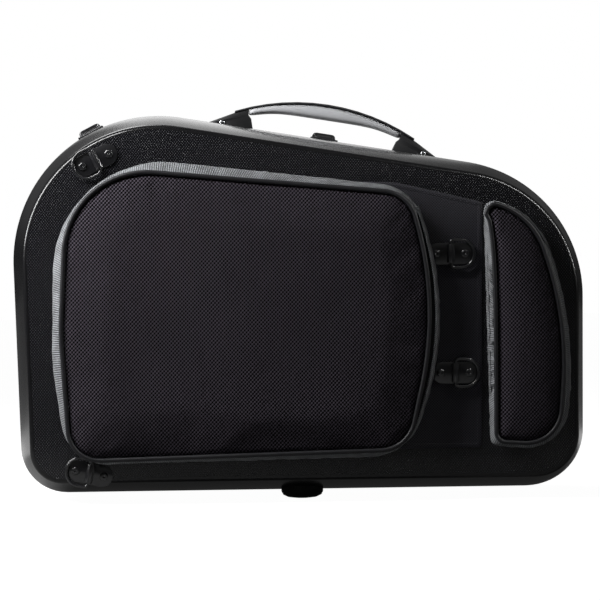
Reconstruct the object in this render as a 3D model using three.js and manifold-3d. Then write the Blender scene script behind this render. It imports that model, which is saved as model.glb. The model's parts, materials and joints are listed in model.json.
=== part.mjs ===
// Moulded french horn case, standing upright: padded back half toward -Y, latch and handle half toward +Y.
// Millimetres, +Z up. The origin is at the middle of the floor contact, below the feet.
import * as THREE from "three";
import { mergeVertices } from "three/addons/utils/BufferGeometryUtils.js";
import Module from "manifold-3d";

const wasm = await Module();
wasm.setup();

// Shell: overall body and the corner radii of its outline, seen from the padded side.
const CASE_LENGTH = 600;
const BODY_HEIGHT = 395;
const HALF_DEPTH = 107;
const HEEL_RADIUS = 48.7;
const CROWN_RADIUS = 153;
const BROW_RADIUS = 143;
const TOE_RADIUS = 61;
const WALL = 3;
const DRAFT_INSET = 16;
const CREASE_RADIUS = 6;
const FACE_CROWN = 3.5;

// Seam: a recessed channel runs round both rims, and an aluminium valance stiffens each lip.
const RIM_DEPTH = 14;
const CHANNEL_DEPTH = 4;
const CHANNEL_HALF = 10;
const LIP_GAP = 1.2;
const SEAM_GAP = 0.4;
const VALANCE_THICKNESS = 4;
const VALANCE_DEPTH = 11;
const TONGUE_THICKNESS = 1.3;
const TONGUE_LENGTH = 2.4;
const TONGUE_START = 12;
const GROOVE_DEPTH = 5.2;
const GASKET_HEIGHT = 2.2;
const FIT = 0.3;

// Foam liners: a flared well for the bell, a bay for accessories and a recess for the horn body.
const LINER_TOP = 2;
const LINER_SHOULDER = 24;
const WELL_MOUTH_RADIUS = 158;
const WELL_THROAT_RADIUS = 62;
const WELL_DEPTH = 74;
const BAY_LENGTH = 165;
const BAY_HEIGHT = 180;
const BAY_DEPTH = 62;
const BAY_CORNER_RADIUS = 18;
const RECESS_BORDER = 38;
const RECESS_DEPTH = 72;
const RECESS_TAPER = 7;

// Feet: one rubber dome below each half.
const FOOT_HEIGHT = 6.7;
const FOOT_DIAMETER = 44;
const FOOT_PAD_DIAMETER = 16;
const FOOT_SPACING = 90;

// Hinges on the bottom seam.
const HINGE_SPACING = 150;
const HINGE_LENGTH = 40;
const BARREL_DIAMETER = 6.4;
const BARREL_INSET = 3.4;
const HINGE_PIN_DIAMETER = 3;
const KNUCKLE_LENGTH = 14;
const LEAF_THICKNESS = 1.6;
const LEAF_START = 4.4;
const LEAF_END = 9.6;

// Draw latches over the top seam.
const LATCH_WIDTH = 24.5;
const LATCH_HEIGHT = 8.6;
const LATCH_SKIN = 1.4;
const LATCH_TAIL = 43;
const LATCH_PIVOT_Y = 18;
const LATCH_PIVOT_HEIGHT = 4.1;
const LATCH_PIN_DIAMETER = 2.4;
const EAR_RADIUS = 2.7;
const EAR_THICKNESS = 1.6;
const BASE_PLATE_WIDTH = 19;
const BASE_PLATE_THICKNESS = 1.5;
const BASE_PLATE_END = 38;
const BAIL_Y = 24.6;
const BAIL_HEIGHT = 1.5;
const BAIL_EYE_RADIUS = 2.8;
const BAIL_WIRE = 2.2;
const BAIL_WIDTH = 29.7;
const BAR_Y = -6;
const BAR_HEIGHT = 1.2;
const KEEPER_WIDTH = 18;
const KEEPER_THICKNESS = 1.5;
const KEEPER_PLATE_END = 9.7;
const KEEPER_RISE = 3.6;

// Handle: two end caps on brackets carry an arched grip under a strap.
const HANDLE_Y = 54;
const HANDLE_PIVOT_HEIGHT = 10.38172;
const HANDLE_HEIGHT = 42.3;
const HANDLE_ARCH_RADIUS = 230;
const STRAP_THICKNESS = 1.8;
const STRAP_WIDTH = 18;
const STRAP_LENGTH = 196;
const GRIP_LENGTH = 165;
const GRIP_WIDTH = 22;
const GRIP_CLEARANCE = 25.5;
const CAP_WIDTH = 15.2;
const CAP_REACH = 125;
const CAP_HEEL = 76;
const LUG_WIDTH = 7;
const LUG_POSITION = 97;
const LUG_RADIUS = 5;
const HANDLE_PIN_DIAMETER = 4;
const HANDLE_PIN_LENGTH = 22;
const BRACKET_LENGTH = 46;
const BRACKET_WIDTH = 26;
const BRACKET_THICKNESS = 1.8;
const CAP_SCREW_DIAMETER = 3;
const CAP_SCREW_HEAD = 7;
const CAP_SCREW_POSITION = 110;
const CAP_SCREW_HEIGHT = 5.4;

// D-ring fittings: a curled strap plate riveted to the padded side holds each ring's bar.
const PLATE_LENGTH = 47;
const PLATE_WIDTH = 22;
const PLATE_THICKNESS = 1.8;
const RIVET_SPACING = 29.4;
const RIVET_SHANK = 4.2;
const RIVET_HEAD = 8.4;
const RIVET_RISE = 1.5;
const RIVET_TAIL = 5.6;
const RING_WIDTH = 31.4;
const RING_REACH = 25.4;
const RING_WIRE = 3.2;
const RING_CORNER_RADIUS = 4;
const CURL_WIDTH = 19.4;
const CURL_THICKNESS = 1.4;
const UPPER_PLATE_GAP = 1.98669;
const LOWER_PLATE_GAP = 5.00997;

// Padding on the back half.
const PANEL_THICKNESS = 1.2;
const CUSHION_RISE = 25;
const CUSHION_CROWN = 5;
const CUSHION_TUCK = 6.3;
const CUSHION_BELLY = 13;

// Counts of facets.
const CORNER_STEPS = 9;
const SOFT_STEPS = 6;
const CREASE_STEPS = 3;
const WIRE_SIDES = 8;
const BEND_STEPS = 3;
const BORE_SIDES = 10;
const WELL_SIDES = 36;
const WELL_STEPS = 6;
const MITRE_SHARE = Math.SQRT2 - 1;
const WELD = 1e-4;
const OVERRUN = 5;

// Corners of outlines: x as a share of the case length, z as a share of the body height.
const CASE_CORNER_SHARES = [
  [-0.4878, 0],
  [-0.5091, 1.0714],
  [0.5021, 0.8184],
  [0.4959, 0],
];
const CASE_RADII = [HEEL_RADIUS, CROWN_RADIUS, BROW_RADIUS, TOE_RADIUS];
const LARGE_CUSHION_SHARES = [
  [-0.3994, 0.0876],
  [-0.4238, 0.3435],
  [-0.4179, 0.8975],
  [0.1851, 0.7927],
  [0.2664, 0.4873],
  [0.1778, 0.0997],
];
const LARGE_CUSHION_RADII = [47, 261, 113, 51.6, 295, 57];
const LARGE_SEAM_SHARES = [
  [-0.3913, 0.1041],
  [-0.4044, 0.4266],
  [-0.3903, 0.8496],
  [0.1781, 0.7706],
  [0.2284, 0.4942],
  [0.1723, 0.1235],
];
const LARGE_SEAM_RADII = [30, 274, 82, 34, 344, 34];
const SMALL_CUSHION_SHARES = [
  [0.3156, 0.1233],
  [0.3084, 0.7635],
  [0.3956, 0.7299],
  [0.4656, 0.4547],
  [0.4433, 0.1066],
];
const SMALL_CUSHION_RADII = [10, 11, 80, 362, 44];
const SMALL_SEAM_SHARES = [
  [0.3278, 0.14],
  [0.3145, 0.7451],
  [0.3853, 0.7172],
  [0.4453, 0.4489],
  [0.4269, 0.1299],
];
const SMALL_SEAM_RADII = [8, 8, 70, 340, 34];
const PANEL_SHARES = [
  [-0.3789, 0.1172],
  [-0.4039, 0.3527],
  [-0.3973, 0.8286],
  [0.1611, 0.8058],
  [0.3094, 0.7527],
  [0.3033, 0.1172],
];
const PANEL_RADII = [30, 250, 100, 60, 5, 5];
const WELL_CENTRE_SHARES = [-0.18, 0.49];
const BAY_CENTRE_SHARES = [0.265, 0.4];
// Each ring fitting: the place of its plate, and the direction in which the ring lies from it. A fitting
// with a gap stands that far beside the foot of the large cushion.
const RING_FITTINGS = [
  { name: "upper_left", centreShares: [-0.3473, 0.871], turn: 206 },
  { name: "lower_left", centreShares: [-0.3633, 0.0641], turn: 168 },
  { name: "upper_right", gap: UPPER_PLATE_GAP, heightShare: 0.6195, turn: 0 },
  { name: "lower_right", gap: LOWER_PLATE_GAP, heightShare: 0.3116, turn: 0 },
];

// Materials.
function finish(color, roughness, metalness = 0) {
  return new THREE.MeshStandardMaterial({ color, roughness, metalness });
}
const shellFinish = finish(0x1c1c20, 0.62);
const aluminium = finish(0x8b8d90, 0.38, 0.9);
const gasketRubber = finish(0x131315, 0.85);
const footRubber = finish(0x17171a, 0.85);
const plushFoam = finish(0x26262c, 0.95);
const nickel = finish(0xa9abad, 0.25, 1);
const blackMetal = finish(0x141416, 0.42, 0.4);
const capPlastic = finish(0x161618, 0.5);
const gripPlastic = finish(0xa5a7a9, 0.42);
const strapVinyl = finish(0x2b2b2e, 0.6);
const meshFabric = finish(0x2c282b, 0.9);
const panelFabric = finish(0x1b1b1e, 0.8);

// A closed geometry with shared vertices, no empty triangles, and its faces pointing out.
function closed(geometry) {
  const loose = geometry.index ? geometry.toNonIndexed() : geometry;
  const bare = new THREE.BufferGeometry().setAttribute("position", loose.getAttribute("position"));
  const welded = mergeVertices(bare, WELD);
  const corners = welded.index.array;
  const kept = [];
  for (let i = 0; i < corners.length; i += 3) {
    const [a, b, c] = corners.slice(i, i + 3);
    if (a !== b && b !== c && c !== a) kept.push(a, b, c);
  }
  const at = (i) => new THREE.Vector3().fromBufferAttribute(welded.attributes.position, i);
  let volume = 0;
  for (let i = 0; i < kept.length; i += 3) {
    volume += at(kept[i]).dot(at(kept[i + 1]).cross(at(kept[i + 2])));
  }
  welded.setIndex(volume < 0 ? kept.reverse() : kept);
  return welded;
}

function solidOf(geometry) {
  const shape = closed(geometry);
  return new wasm.Manifold(
    new wasm.Mesh({
      numProp: 3,
      vertProperties: shape.attributes.position.array,
      triVerts: new Uint32Array(shape.index.array),
    }),
  );
}

function geometryOf(solid) {
  const mesh = solid.getMesh();
  const positions = new THREE.BufferAttribute(new Float32Array(mesh.vertProperties), 3);
  return new THREE.BufferGeometry()
    .setAttribute("position", positions)
    .setIndex(new THREE.BufferAttribute(mesh.triVerts, 1));
}

function joined(...pieces) {
  return geometryOf(pieces.map(solidOf).reduce((a, b) => a.add(b)));
}

function cut(body, ...tools) {
  return geometryOf(tools.map(solidOf).reduce((a, b) => a.subtract(b), solidOf(body)));
}

function common(a, b) {
  return geometryOf(solidOf(a).intersect(solidOf(b)));
}

// Circle that rounds one corner of a convex outline: its centre, and the angles of its normals.
function fillet(corners, i) {
  const p = corners[i];
  const before = corners.at(i - 1);
  const after = corners[(i + 1) % corners.length];
  const u = new THREE.Vector2(before.x - p.x, before.z - p.z).normalize();
  const v = new THREE.Vector2(after.x - p.x, after.z - p.z).normalize();
  const half = Math.acos(THREE.MathUtils.clamp(u.dot(v), -1, 1)) / 2;
  const middle = u.clone().add(v).normalize();
  const reach = p.r / Math.sin(half);
  const centre = new THREE.Vector2(p.x + middle.x * reach, p.z + middle.y * reach);
  const run = p.r / Math.tan(half);
  const from = Math.atan2(p.z + u.y * run - centre.y, p.x + u.x * run - centre.x);
  const to = Math.atan2(p.z + v.y * run - centre.y, p.x + v.x * run - centre.x);
  const turn = THREE.MathUtils.euclideanModulo(to - from + Math.PI, 2 * Math.PI) - Math.PI;
  return { centre, radius: p.r, from, turn };
}

function onFillet(arc, share) {
  const angle = arc.from + arc.turn * share;
  const nx = Math.cos(angle);
  const nz = Math.sin(angle);
  return { x: arc.centre.x + nx * arc.radius, z: arc.centre.y + nz * arc.radius, nx, nz };
}

// Points of a convex outline with rounded corners, each with its outward normal.
function outline(corners, steps) {
  return corners.flatMap((_, i) => {
    const arc = fillet(corners, i);
    return Array.from({ length: steps + 1 }, (_, k) => onFillet(arc, k / steps));
  });
}

function cornersOf(shares, radii) {
  return shares.map(([x, z], i) => ({
    x: x * CASE_LENGTH,
    z: FOOT_HEIGHT + z * BODY_HEIGHT,
    r: radii[i],
  }));
}

function inset(points, distance) {
  return points.map((p) => ({ ...p, x: p.x - p.nx * distance, z: p.z - p.nz * distance }));
}

function between(a, b, share) {
  return a.map((p, i) => ({
    ...p,
    x: THREE.MathUtils.lerp(p.x, b[i].x, share),
    z: THREE.MathUtils.lerp(p.z, b[i].z, share),
  }));
}

function middleOf(points) {
  const box = new THREE.Box2().setFromPoints(points.map((p) => new THREE.Vector2(p.x, p.z)));
  return box.getCenter(new THREE.Vector2());
}

function shrunk(points, share) {
  const middle = middleOf(points);
  return points.map((p) => ({
    ...p,
    x: middle.x + (p.x - middle.x) * share,
    z: middle.y + (p.z - middle.y) * share,
  }));
}

function ring(points, y) {
  return points.map((p) => new THREE.Vector3(p.x, y, p.z));
}

function stitched(rings, faces, extra = []) {
  const positions = [...rings.flat(), ...extra].flatMap((p) => [p.x, p.y, p.z]);
  const geometry = new THREE.BufferGeometry();
  geometry.setAttribute("position", new THREE.Float32BufferAttribute(positions, 3));
  geometry.setIndex(faces);
  return closed(geometry);
}

function bands(rings, wrap) {
  const n = rings[0].length;
  const faces = [];
  for (let i = 0; i < rings.length - (wrap ? 0 : 1); i++) {
    const next = (i + 1) % rings.length;
    for (let k = 0; k < n; k++) {
      const [a, b] = [i * n + k, i * n + ((k + 1) % n)];
      const [c, d] = [next * n + k, next * n + ((k + 1) % n)];
      faces.push(a, b, d, a, d, c);
    }
  }
  return faces;
}

// Closed surface through rings of equally many points, with a fan about the middle of each end.
function loft(rings, first, last) {
  const n = rings[0].length;
  const faces = bands(rings, false);
  const count = rings.length * n;
  const mean = (points) => {
    const sum = points.reduce((a, p) => a.add(p), new THREE.Vector3());
    return sum.divideScalar(points.length);
  };
  for (let k = 0; k < n; k++) {
    const next = (k + 1) % n;
    faces.push(count, next, k);
    faces.push(count + 1, count - n + k, count - n + next);
  }
  return stitched(rings, faces, [first ?? mean(rings[0]), last ?? mean(rings.at(-1))]);
}

// Closed surface through rings of which the last joins the first again.
function hoop(rings) {
  return stitched(rings, bands(rings, true));
}

function block(x0, x1, y0, y1, z0, z1) {
  const box = new THREE.BoxGeometry(x1 - x0, y1 - y0, z1 - z0);
  return box.translate((x0 + x1) / 2, (y0 + y1) / 2, (z0 + z1) / 2);
}

const ALONG_X = new THREE.Matrix4().makeBasis(
  new THREE.Vector3(0, 1, 0),
  new THREE.Vector3(0, 0, 1),
  new THREE.Vector3(1, 0, 0),
);
const ALONG_Y = new THREE.Matrix4().makeBasis(
  new THREE.Vector3(0, 0, 1),
  new THREE.Vector3(1, 0, 0),
  new THREE.Vector3(0, 1, 0),
);

function extruded(shape, from, to, basis, steps) {
  const outlineShape = Array.isArray(shape)
    ? new THREE.Shape(shape.map(([x, y]) => new THREE.Vector2(x, y)))
    : shape;
  const settings = { depth: to - from, bevelEnabled: false, curveSegments: steps ?? BORE_SIDES / 2 };
  return new THREE.ExtrudeGeometry(outlineShape, settings).translate(0, 0, from).applyMatrix4(basis);
}

// A profile in (y, z) run along x, and one in (z, x) run along y.
function alongX(shape, from, to, steps) {
  return extruded(shape, from, to, ALONG_X, steps);
}

function alongY(shape, from, to, steps) {
  return extruded(shape, from, to, ALONG_Y, steps);
}

function disc(radius, sides) {
  return Array.from({ length: sides }, (_, i) => {
    const angle = (2 * Math.PI * (i + 0.5)) / sides;
    return [radius * Math.cos(angle), radius * Math.sin(angle)];
  });
}

function shifted(points, dx, dy) {
  return points.map(([x, y]) => [x + dx, y + dy]);
}

// A rod along x through the point (y, z).
function rodX(diameter, from, to, y, z, sides = BORE_SIDES) {
  return alongX(shifted(disc(diameter / 2, sides), y, z), from, to);
}

function rodY(diameter, from, to, x, z, sides = BORE_SIDES) {
  return alongY(shifted(disc(diameter / 2, sides), z, x), from, to);
}

function revolved(profile, sides) {
  const points = profile.map(([r, h]) => new THREE.Vector2(r, h));
  return new THREE.LatheGeometry(points, sides);
}

// Centre line with rounded bends through corner points, each with its direction.
function bentLine(points, radius) {
  const line = [{ p: points[0], t: points[1].clone().sub(points[0]).normalize() }];
  for (let i = 1; i < points.length - 1; i++) {
    const u = points[i - 1].clone().sub(points[i]).normalize();
    const v = points[i + 1].clone().sub(points[i]).normalize();
    const half = u.angleTo(v) / 2;
    const run = radius / Math.tan(half);
    const start = points[i].clone().addScaledVector(u, run);
    const end = points[i].clone().addScaledVector(v, run);
    const curve = new THREE.QuadraticBezierCurve3(start, points[i], end);
    for (let k = 0; k <= BEND_STEPS; k++) {
      line.push({ p: curve.getPoint(k / BEND_STEPS), t: curve.getTangent(k / BEND_STEPS) });
    }
  }
  const last = points.at(-1);
  line.push({ p: last, t: last.clone().sub(points.at(-2)).normalize() });
  return line;
}

// Round wire along a flat centre line whose plane has the normal up.
function wire(line, up, diameter) {
  return loft(
    line.map(({ p, t }) => {
      const side = t.clone().cross(up);
      return disc(diameter / 2, WIRE_SIDES).map(([a, b]) =>
        p.clone().addScaledVector(side, a).addScaledVector(up, b),
      );
    }),
  );
}

const caseCorners = cornersOf(CASE_CORNER_SHARES, CASE_RADII);
const caseOutline = outline(caseCorners, CORNER_STEPS);
const draft = Math.atan(DRAFT_INSET / (HALF_DEPTH - RIM_DEPTH));
const bodyBottom = FOOT_HEIGHT;

function rim(insetDistance, y) {
  return ring(inset(caseOutline, insetDistance), y);
}

// Distance that the drafted wall stands in from the outline at a depth from the seam.
function wallInset(depth, wall = 0) {
  return wall / Math.cos(draft) + (depth - RIM_DEPTH) * Math.tan(draft);
}

// Crease between the drafted wall and the face, as pairs of inset and depth.
function crease(wall) {
  const radius = Math.max(CREASE_RADIUS - wall, CREASE_RADIUS / 4);
  const depth = HALF_DEPTH - wall;
  const run = radius * Math.tan((Math.PI / 2 - draft) / 2);
  const centre = [wallInset(depth, wall) + run, depth - radius];
  return Array.from({ length: CREASE_STEPS + 1 }, (_, i) => {
    const angle = THREE.MathUtils.lerp(draft, Math.PI / 2, i / CREASE_STEPS);
    return [centre[0] - radius * Math.cos(angle), centre[1] + radius * Math.sin(angle)];
  });
}

// Section of a half from its lip to its face, a wall's thickness inside the outer surface.
function shellSection(wall) {
  const mitre = wall * MITRE_SHARE;
  return [
    [CHANNEL_DEPTH + wall, LIP_GAP],
    [CHANNEL_DEPTH + wall, CHANNEL_HALF + mitre],
    [wallInset(RIM_DEPTH + mitre, wall), RIM_DEPTH + mitre],
    ...crease(wall),
  ];
}

// Rings that carry a face from its edge toward its middle, bulging by the crown.
function faceRings(edgeInset, depth, side, crown) {
  const edge = inset(caseOutline, edgeInset);
  const shares = crown ? [0.66, 0.33] : [];
  return shares.map((s) => ring(shrunk(edge, s), side * (depth + crown * (1 - s * s))));
}

function halfShell(side, crown) {
  const outer = shellSection(0);
  const inner = shellSection(WALL);
  const ringOf = ([d, y]) => rim(d, side * y);
  const middle = middleOf(caseOutline);
  const pole = (depth) => new THREE.Vector3(middle.x, side * (depth + crown), middle.y);
  const rings = [
    ...faceRings(inner.at(-1)[0], inner.at(-1)[1], side, crown).reverse(),
    ...inner.map(ringOf).reverse(),
    ...outer.map(ringOf),
    ...faceRings(outer.at(-1)[0], outer.at(-1)[1], side, crown),
  ];
  return loft(rings, pole(HALF_DEPTH - WALL), pole(HALF_DEPTH));
}

const hingePlaces = [-HINGE_SPACING, 0, HINGE_SPACING];

function hingeNotch(x) {
  const half = HINGE_LENGTH / 2 + 2 * FIT;
  const reach = BARREL_DIAMETER / 2 + 2 * FIT;
  const top = bodyBottom + CHANNEL_DEPTH + WALL + FIT / 2;
  return block(x - half, x + half, -reach, reach, bodyBottom, top);
}

// Places on the rim: a point on the outline and the normal there.
function onTop(share) {
  const from = onFillet(fillet(caseCorners, 1), 1);
  const to = onFillet(fillet(caseCorners, 2), 0);
  return between([from], [to], share)[0];
}

function onCrown(share) {
  return onFillet(fillet(caseCorners, 1), share);
}

// Frame at a place on the rim: x along the rim, y across the seam, z outward.
function rimFrame(spot) {
  const frame = new THREE.Group();
  frame.position.set(spot.x, 0, spot.z);
  frame.rotation.y = Math.atan2(spot.nx, spot.nz);
  return frame;
}

function piece(name, geometry, material) {
  const mesh = new THREE.Mesh(closed(geometry), material);
  mesh.name = name;
  return mesh;
}

// Front half: shell, valance and liner.
function frontHalf() {
  const half = new THREE.Group();
  const shell = cut(halfShell(1, FACE_CROWN), ...hingePlaces.map(hingeNotch));
  half.add(piece("front_shell", shell, shellFinish));
  half.add(piece("front_valance", frontValance(), aluminium));
  half.add(piece("front_liner", frontLiner(), plushFoam));
  half.add(piece("front_foot", foot(1), footRubber));
  return half;
}

const valanceOuter = CHANNEL_DEPTH + WALL + FIT;
const valanceInner = valanceOuter + VALANCE_THICKNESS;
const tongueOuter = valanceOuter + (VALANCE_THICKNESS - TONGUE_THICKNESS) / 2;
const tongueInner = tongueOuter + TONGUE_THICKNESS;

function sectionHoop(section) {
  return hoop(section.map(([d, y]) => rim(d, y)));
}

// Frame of the front half: its tongue starts above the hinges, so that it swings free of the groove.
function frontValance() {
  const frame = sectionHoop([
    [valanceOuter, SEAM_GAP / 2],
    [tongueOuter, SEAM_GAP / 2],
    [tongueOuter, -TONGUE_LENGTH],
    [tongueInner, -TONGUE_LENGTH],
    [tongueInner, SEAM_GAP / 2],
    [valanceInner, SEAM_GAP / 2],
    [valanceInner, VALANCE_DEPTH],
    [valanceOuter, VALANCE_DEPTH],
  ]);
  const low = bodyBottom + BARREL_INSET;
  const clear = block(-CASE_LENGTH, CASE_LENGTH, -GROOVE_DEPTH, SEAM_GAP / 2, 0, low + TONGUE_START);
  return cut(frame, clear);
}

function backValance() {
  const top = -SEAM_GAP / 2;
  return sectionHoop([
    [valanceOuter, top],
    [tongueOuter - FIT, top],
    [tongueOuter - FIT, top - GROOVE_DEPTH],
    [tongueInner + FIT, top - GROOVE_DEPTH],
    [tongueInner + FIT, top],
    [valanceInner, top],
    [valanceInner, -VALANCE_DEPTH],
    [valanceOuter, -VALANCE_DEPTH],
  ]);
}

function gasket() {
  const floor = -SEAM_GAP / 2 - GROOVE_DEPTH + FIT;
  const clear = FIT / 2;
  return sectionHoop([
    [tongueOuter - clear, floor],
    [tongueInner + clear, floor],
    [tongueInner + clear, floor + GASKET_HEIGHT],
    [tongueOuter - clear, floor + GASKET_HEIGHT],
  ]);
}

// Foam block that fills a half from below its valance to its face.
function linerBlock(side, crown) {
  const edge = valanceInner + FIT;
  const skin = WALL + FIT;
  const section = [
    [edge, LINER_TOP],
    [edge, VALANCE_DEPTH + FIT],
    [wallInset(LINER_SHOULDER, skin), LINER_SHOULDER],
    ...crease(skin),
  ];
  const middle = middleOf(caseOutline);
  const back = section.at(-1);
  const rings = [
    ...section.map(([d, y]) => rim(d, side * y)),
    ...faceRings(back[0], back[1], side, crown),
  ];
  const pole = (y) => new THREE.Vector3(middle.x, side * y, middle.y);
  return loft(rings, pole(LINER_TOP), pole(back[1] + crown));
}

function onBody(shares) {
  return { x: shares[0] * CASE_LENGTH, z: FOOT_HEIGHT + shares[1] * BODY_HEIGHT };
}

// Bell well: a flare that narrows quickly below its mouth, as the bell does.
function bellWell() {
  const centre = onBody(WELL_CENTRE_SHARES);
  const flare = Array.from({ length: WELL_STEPS + 1 }, (_, i) => {
    const share = i / WELL_STEPS;
    const radius = THREE.MathUtils.lerp(WELL_MOUTH_RADIUS, WELL_THROAT_RADIUS, Math.sqrt(share));
    return [radius, LINER_TOP + share * (WELL_DEPTH - LINER_TOP)];
  });
  const profile = [[0, -OVERRUN], [WELL_MOUTH_RADIUS, -OVERRUN], ...flare, [0, WELL_DEPTH]];
  return revolved(profile, WELL_SIDES).translate(centre.x, 0, centre.z);
}

function accessoryBay() {
  const centre = onBody(BAY_CENTRE_SHARES);
  const [halfX, halfZ] = [BAY_LENGTH / 2, BAY_HEIGHT / 2];
  const corners = [
    [-halfX, -halfZ],
    [-halfX, halfZ],
    [halfX, halfZ],
    [halfX, -halfZ],
  ].map(([x, z]) => ({ x: centre.x + x, z: centre.z + z, r: BAY_CORNER_RADIUS }));
  const edge = outline(corners, BEND_STEPS);
  return loft([ring(edge, -OVERRUN), ring(edge, BAY_DEPTH)]);
}

function frontLiner() {
  return cut(linerBlock(1, FACE_CROWN), bellWell(), accessoryBay());
}

function backLiner() {
  const recess = loft([
    rim(RECESS_BORDER, OVERRUN),
    rim(RECESS_BORDER, -LINER_TOP),
    rim(RECESS_BORDER + RECESS_TAPER, -RECESS_DEPTH),
  ]);
  return cut(linerBlock(-1, 0), recess);
}

// Rubber dome below a half, cut to the drafted wall that carries it.
function foot(side) {
  const [pad, wide] = [FOOT_PAD_DIAMETER / 2, FOOT_DIAMETER / 2];
  const height = FOOT_HEIGHT + wallInset(FOOT_SPACING / 2 + wide);
  const dome = Array.from({ length: BEND_STEPS + 1 }, (_, i) => {
    const angle = (i / BEND_STEPS) * (Math.PI / 2);
    return [pad + (wide - pad) * Math.sin(angle), FOOT_HEIGHT * (1 - Math.cos(angle))];
  });
  const profile = [[0, 0], ...dome, [wide, height], [0, height]];
  const y = (side * FOOT_SPACING) / 2;
  const stud = revolved(profile, WELL_SIDES / 2).rotateX(Math.PI / 2);
  stud.translate(0, y, 0);
  const reach = HALF_DEPTH;
  const wall = block(-reach, reach, -reach, reach, -FIT, reach);
  wall.rotateX(side * draft).translate(0, side * RIM_DEPTH, bodyBottom);
  return cut(stud, wall);
}

// One leaf of a hinge: its knuckles round the pin and its plate on the lip.
function hingeLeaf(x, side, knuckles) {
  const z = bodyBottom + BARREL_INSET;
  const plateTop = bodyBottom + CHANNEL_DEPTH - FIT;
  const half = HINGE_LENGTH / 2;
  const [near, far] = side > 0 ? [LEAF_START, LEAF_END] : [-LEAF_END, -LEAF_START];
  const plate = block(x - half, x + half, near, far, plateTop - LEAF_THICKNESS, plateTop);
  const parts = knuckles.flatMap(([from, to]) => {
    const arm = side > 0 ? [0, LEAF_START + FIT] : [-LEAF_START - FIT, 0];
    return [
      rodX(BARREL_DIAMETER, x + from, x + to, 0, z),
      block(x + from, x + to, arm[0], arm[1], plateTop - LEAF_THICKNESS, plateTop),
    ];
  });
  const bore = rodX(HINGE_PIN_DIAMETER + 2 * FIT, x - half - OVERRUN, x + half + OVERRUN, 0, z);
  return cut(joined(plate, ...parts), bore);
}

const knuckleHalf = HINGE_LENGTH / 2 - KNUCKLE_LENGTH + FIT / 2;

function hinges(front, back) {
  hingePlaces.forEach((x, i) => {
    const end = HINGE_LENGTH / 2;
    const outer = [
      [-end, -knuckleHalf - FIT],
      [knuckleHalf + FIT, end],
    ];
    const inner = [[-knuckleHalf, knuckleHalf]];
    const z = bodyBottom + BARREL_INSET;
    const pin = rodX(HINGE_PIN_DIAMETER, x - end, x + end, 0, z, WIRE_SIDES);
    front.add(piece(`hinge_front_leaf_${i + 1}`, hingeLeaf(x, 1, outer), blackMetal));
    front.add(piece(`hinge_pin_${i + 1}`, pin, nickel));
    back.add(piece(`hinge_back_leaf_${i + 1}`, hingeLeaf(x, -1, inner), blackMetal));
  });
}

// Height of the drafted wall above the outline, at a distance y from the seam.
function wallHeight(y) {
  return -wallInset(y);
}

// Base plate of a latch: it follows the drafted wall, and two ears hold the pin.
function latchBase() {
  const y0 = RIM_DEPTH + FIT;
  const lift = FIT / Math.cos(draft);
  const low = (y) => wallHeight(y) + lift;
  const high = (y) => low(y) + BASE_PLATE_THICKNESS / Math.cos(draft);
  const end = BASE_PLATE_END;
  const plate = alongX(
    [[y0, low(y0)], [end, low(end)], [end, high(end)], [y0, high(y0)]],
    -BASE_PLATE_WIDTH / 2,
    BASE_PLATE_WIDTH / 2,
  );
  const earOuter = LATCH_WIDTH / 2 - 2 * LATCH_SKIN - FIT;
  const ears = [-1, 1].flatMap((s) => {
    const [a, b] = [s * earOuter, s * (earOuter - EAR_THICKNESS)].sort((p, q) => p - q);
    const eye = 2 * EAR_RADIUS;
    const root = [
      [LATCH_PIVOT_Y - EAR_RADIUS / 2, low(LATCH_PIVOT_Y)],
      [LATCH_PIVOT_Y + eye, low(LATCH_PIVOT_Y + eye)],
      [LATCH_PIVOT_Y + EAR_RADIUS, LATCH_PIVOT_HEIGHT],
      [LATCH_PIVOT_Y - EAR_RADIUS, LATCH_PIVOT_HEIGHT],
    ];
    return [alongX(root, a, b), rodX(eye, a, b, LATCH_PIVOT_Y, LATCH_PIVOT_HEIGHT)];
  });
  return cut(joined(plate, ...ears), latchBore(LATCH_PIVOT_Y, LATCH_PIVOT_HEIGHT, LATCH_PIN_DIAMETER));
}

function latchBore(y, z, diameter) {
  return rodX(diameter + 2 * FIT, -LATCH_WIDTH, LATCH_WIDTH, y, z);
}

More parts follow.
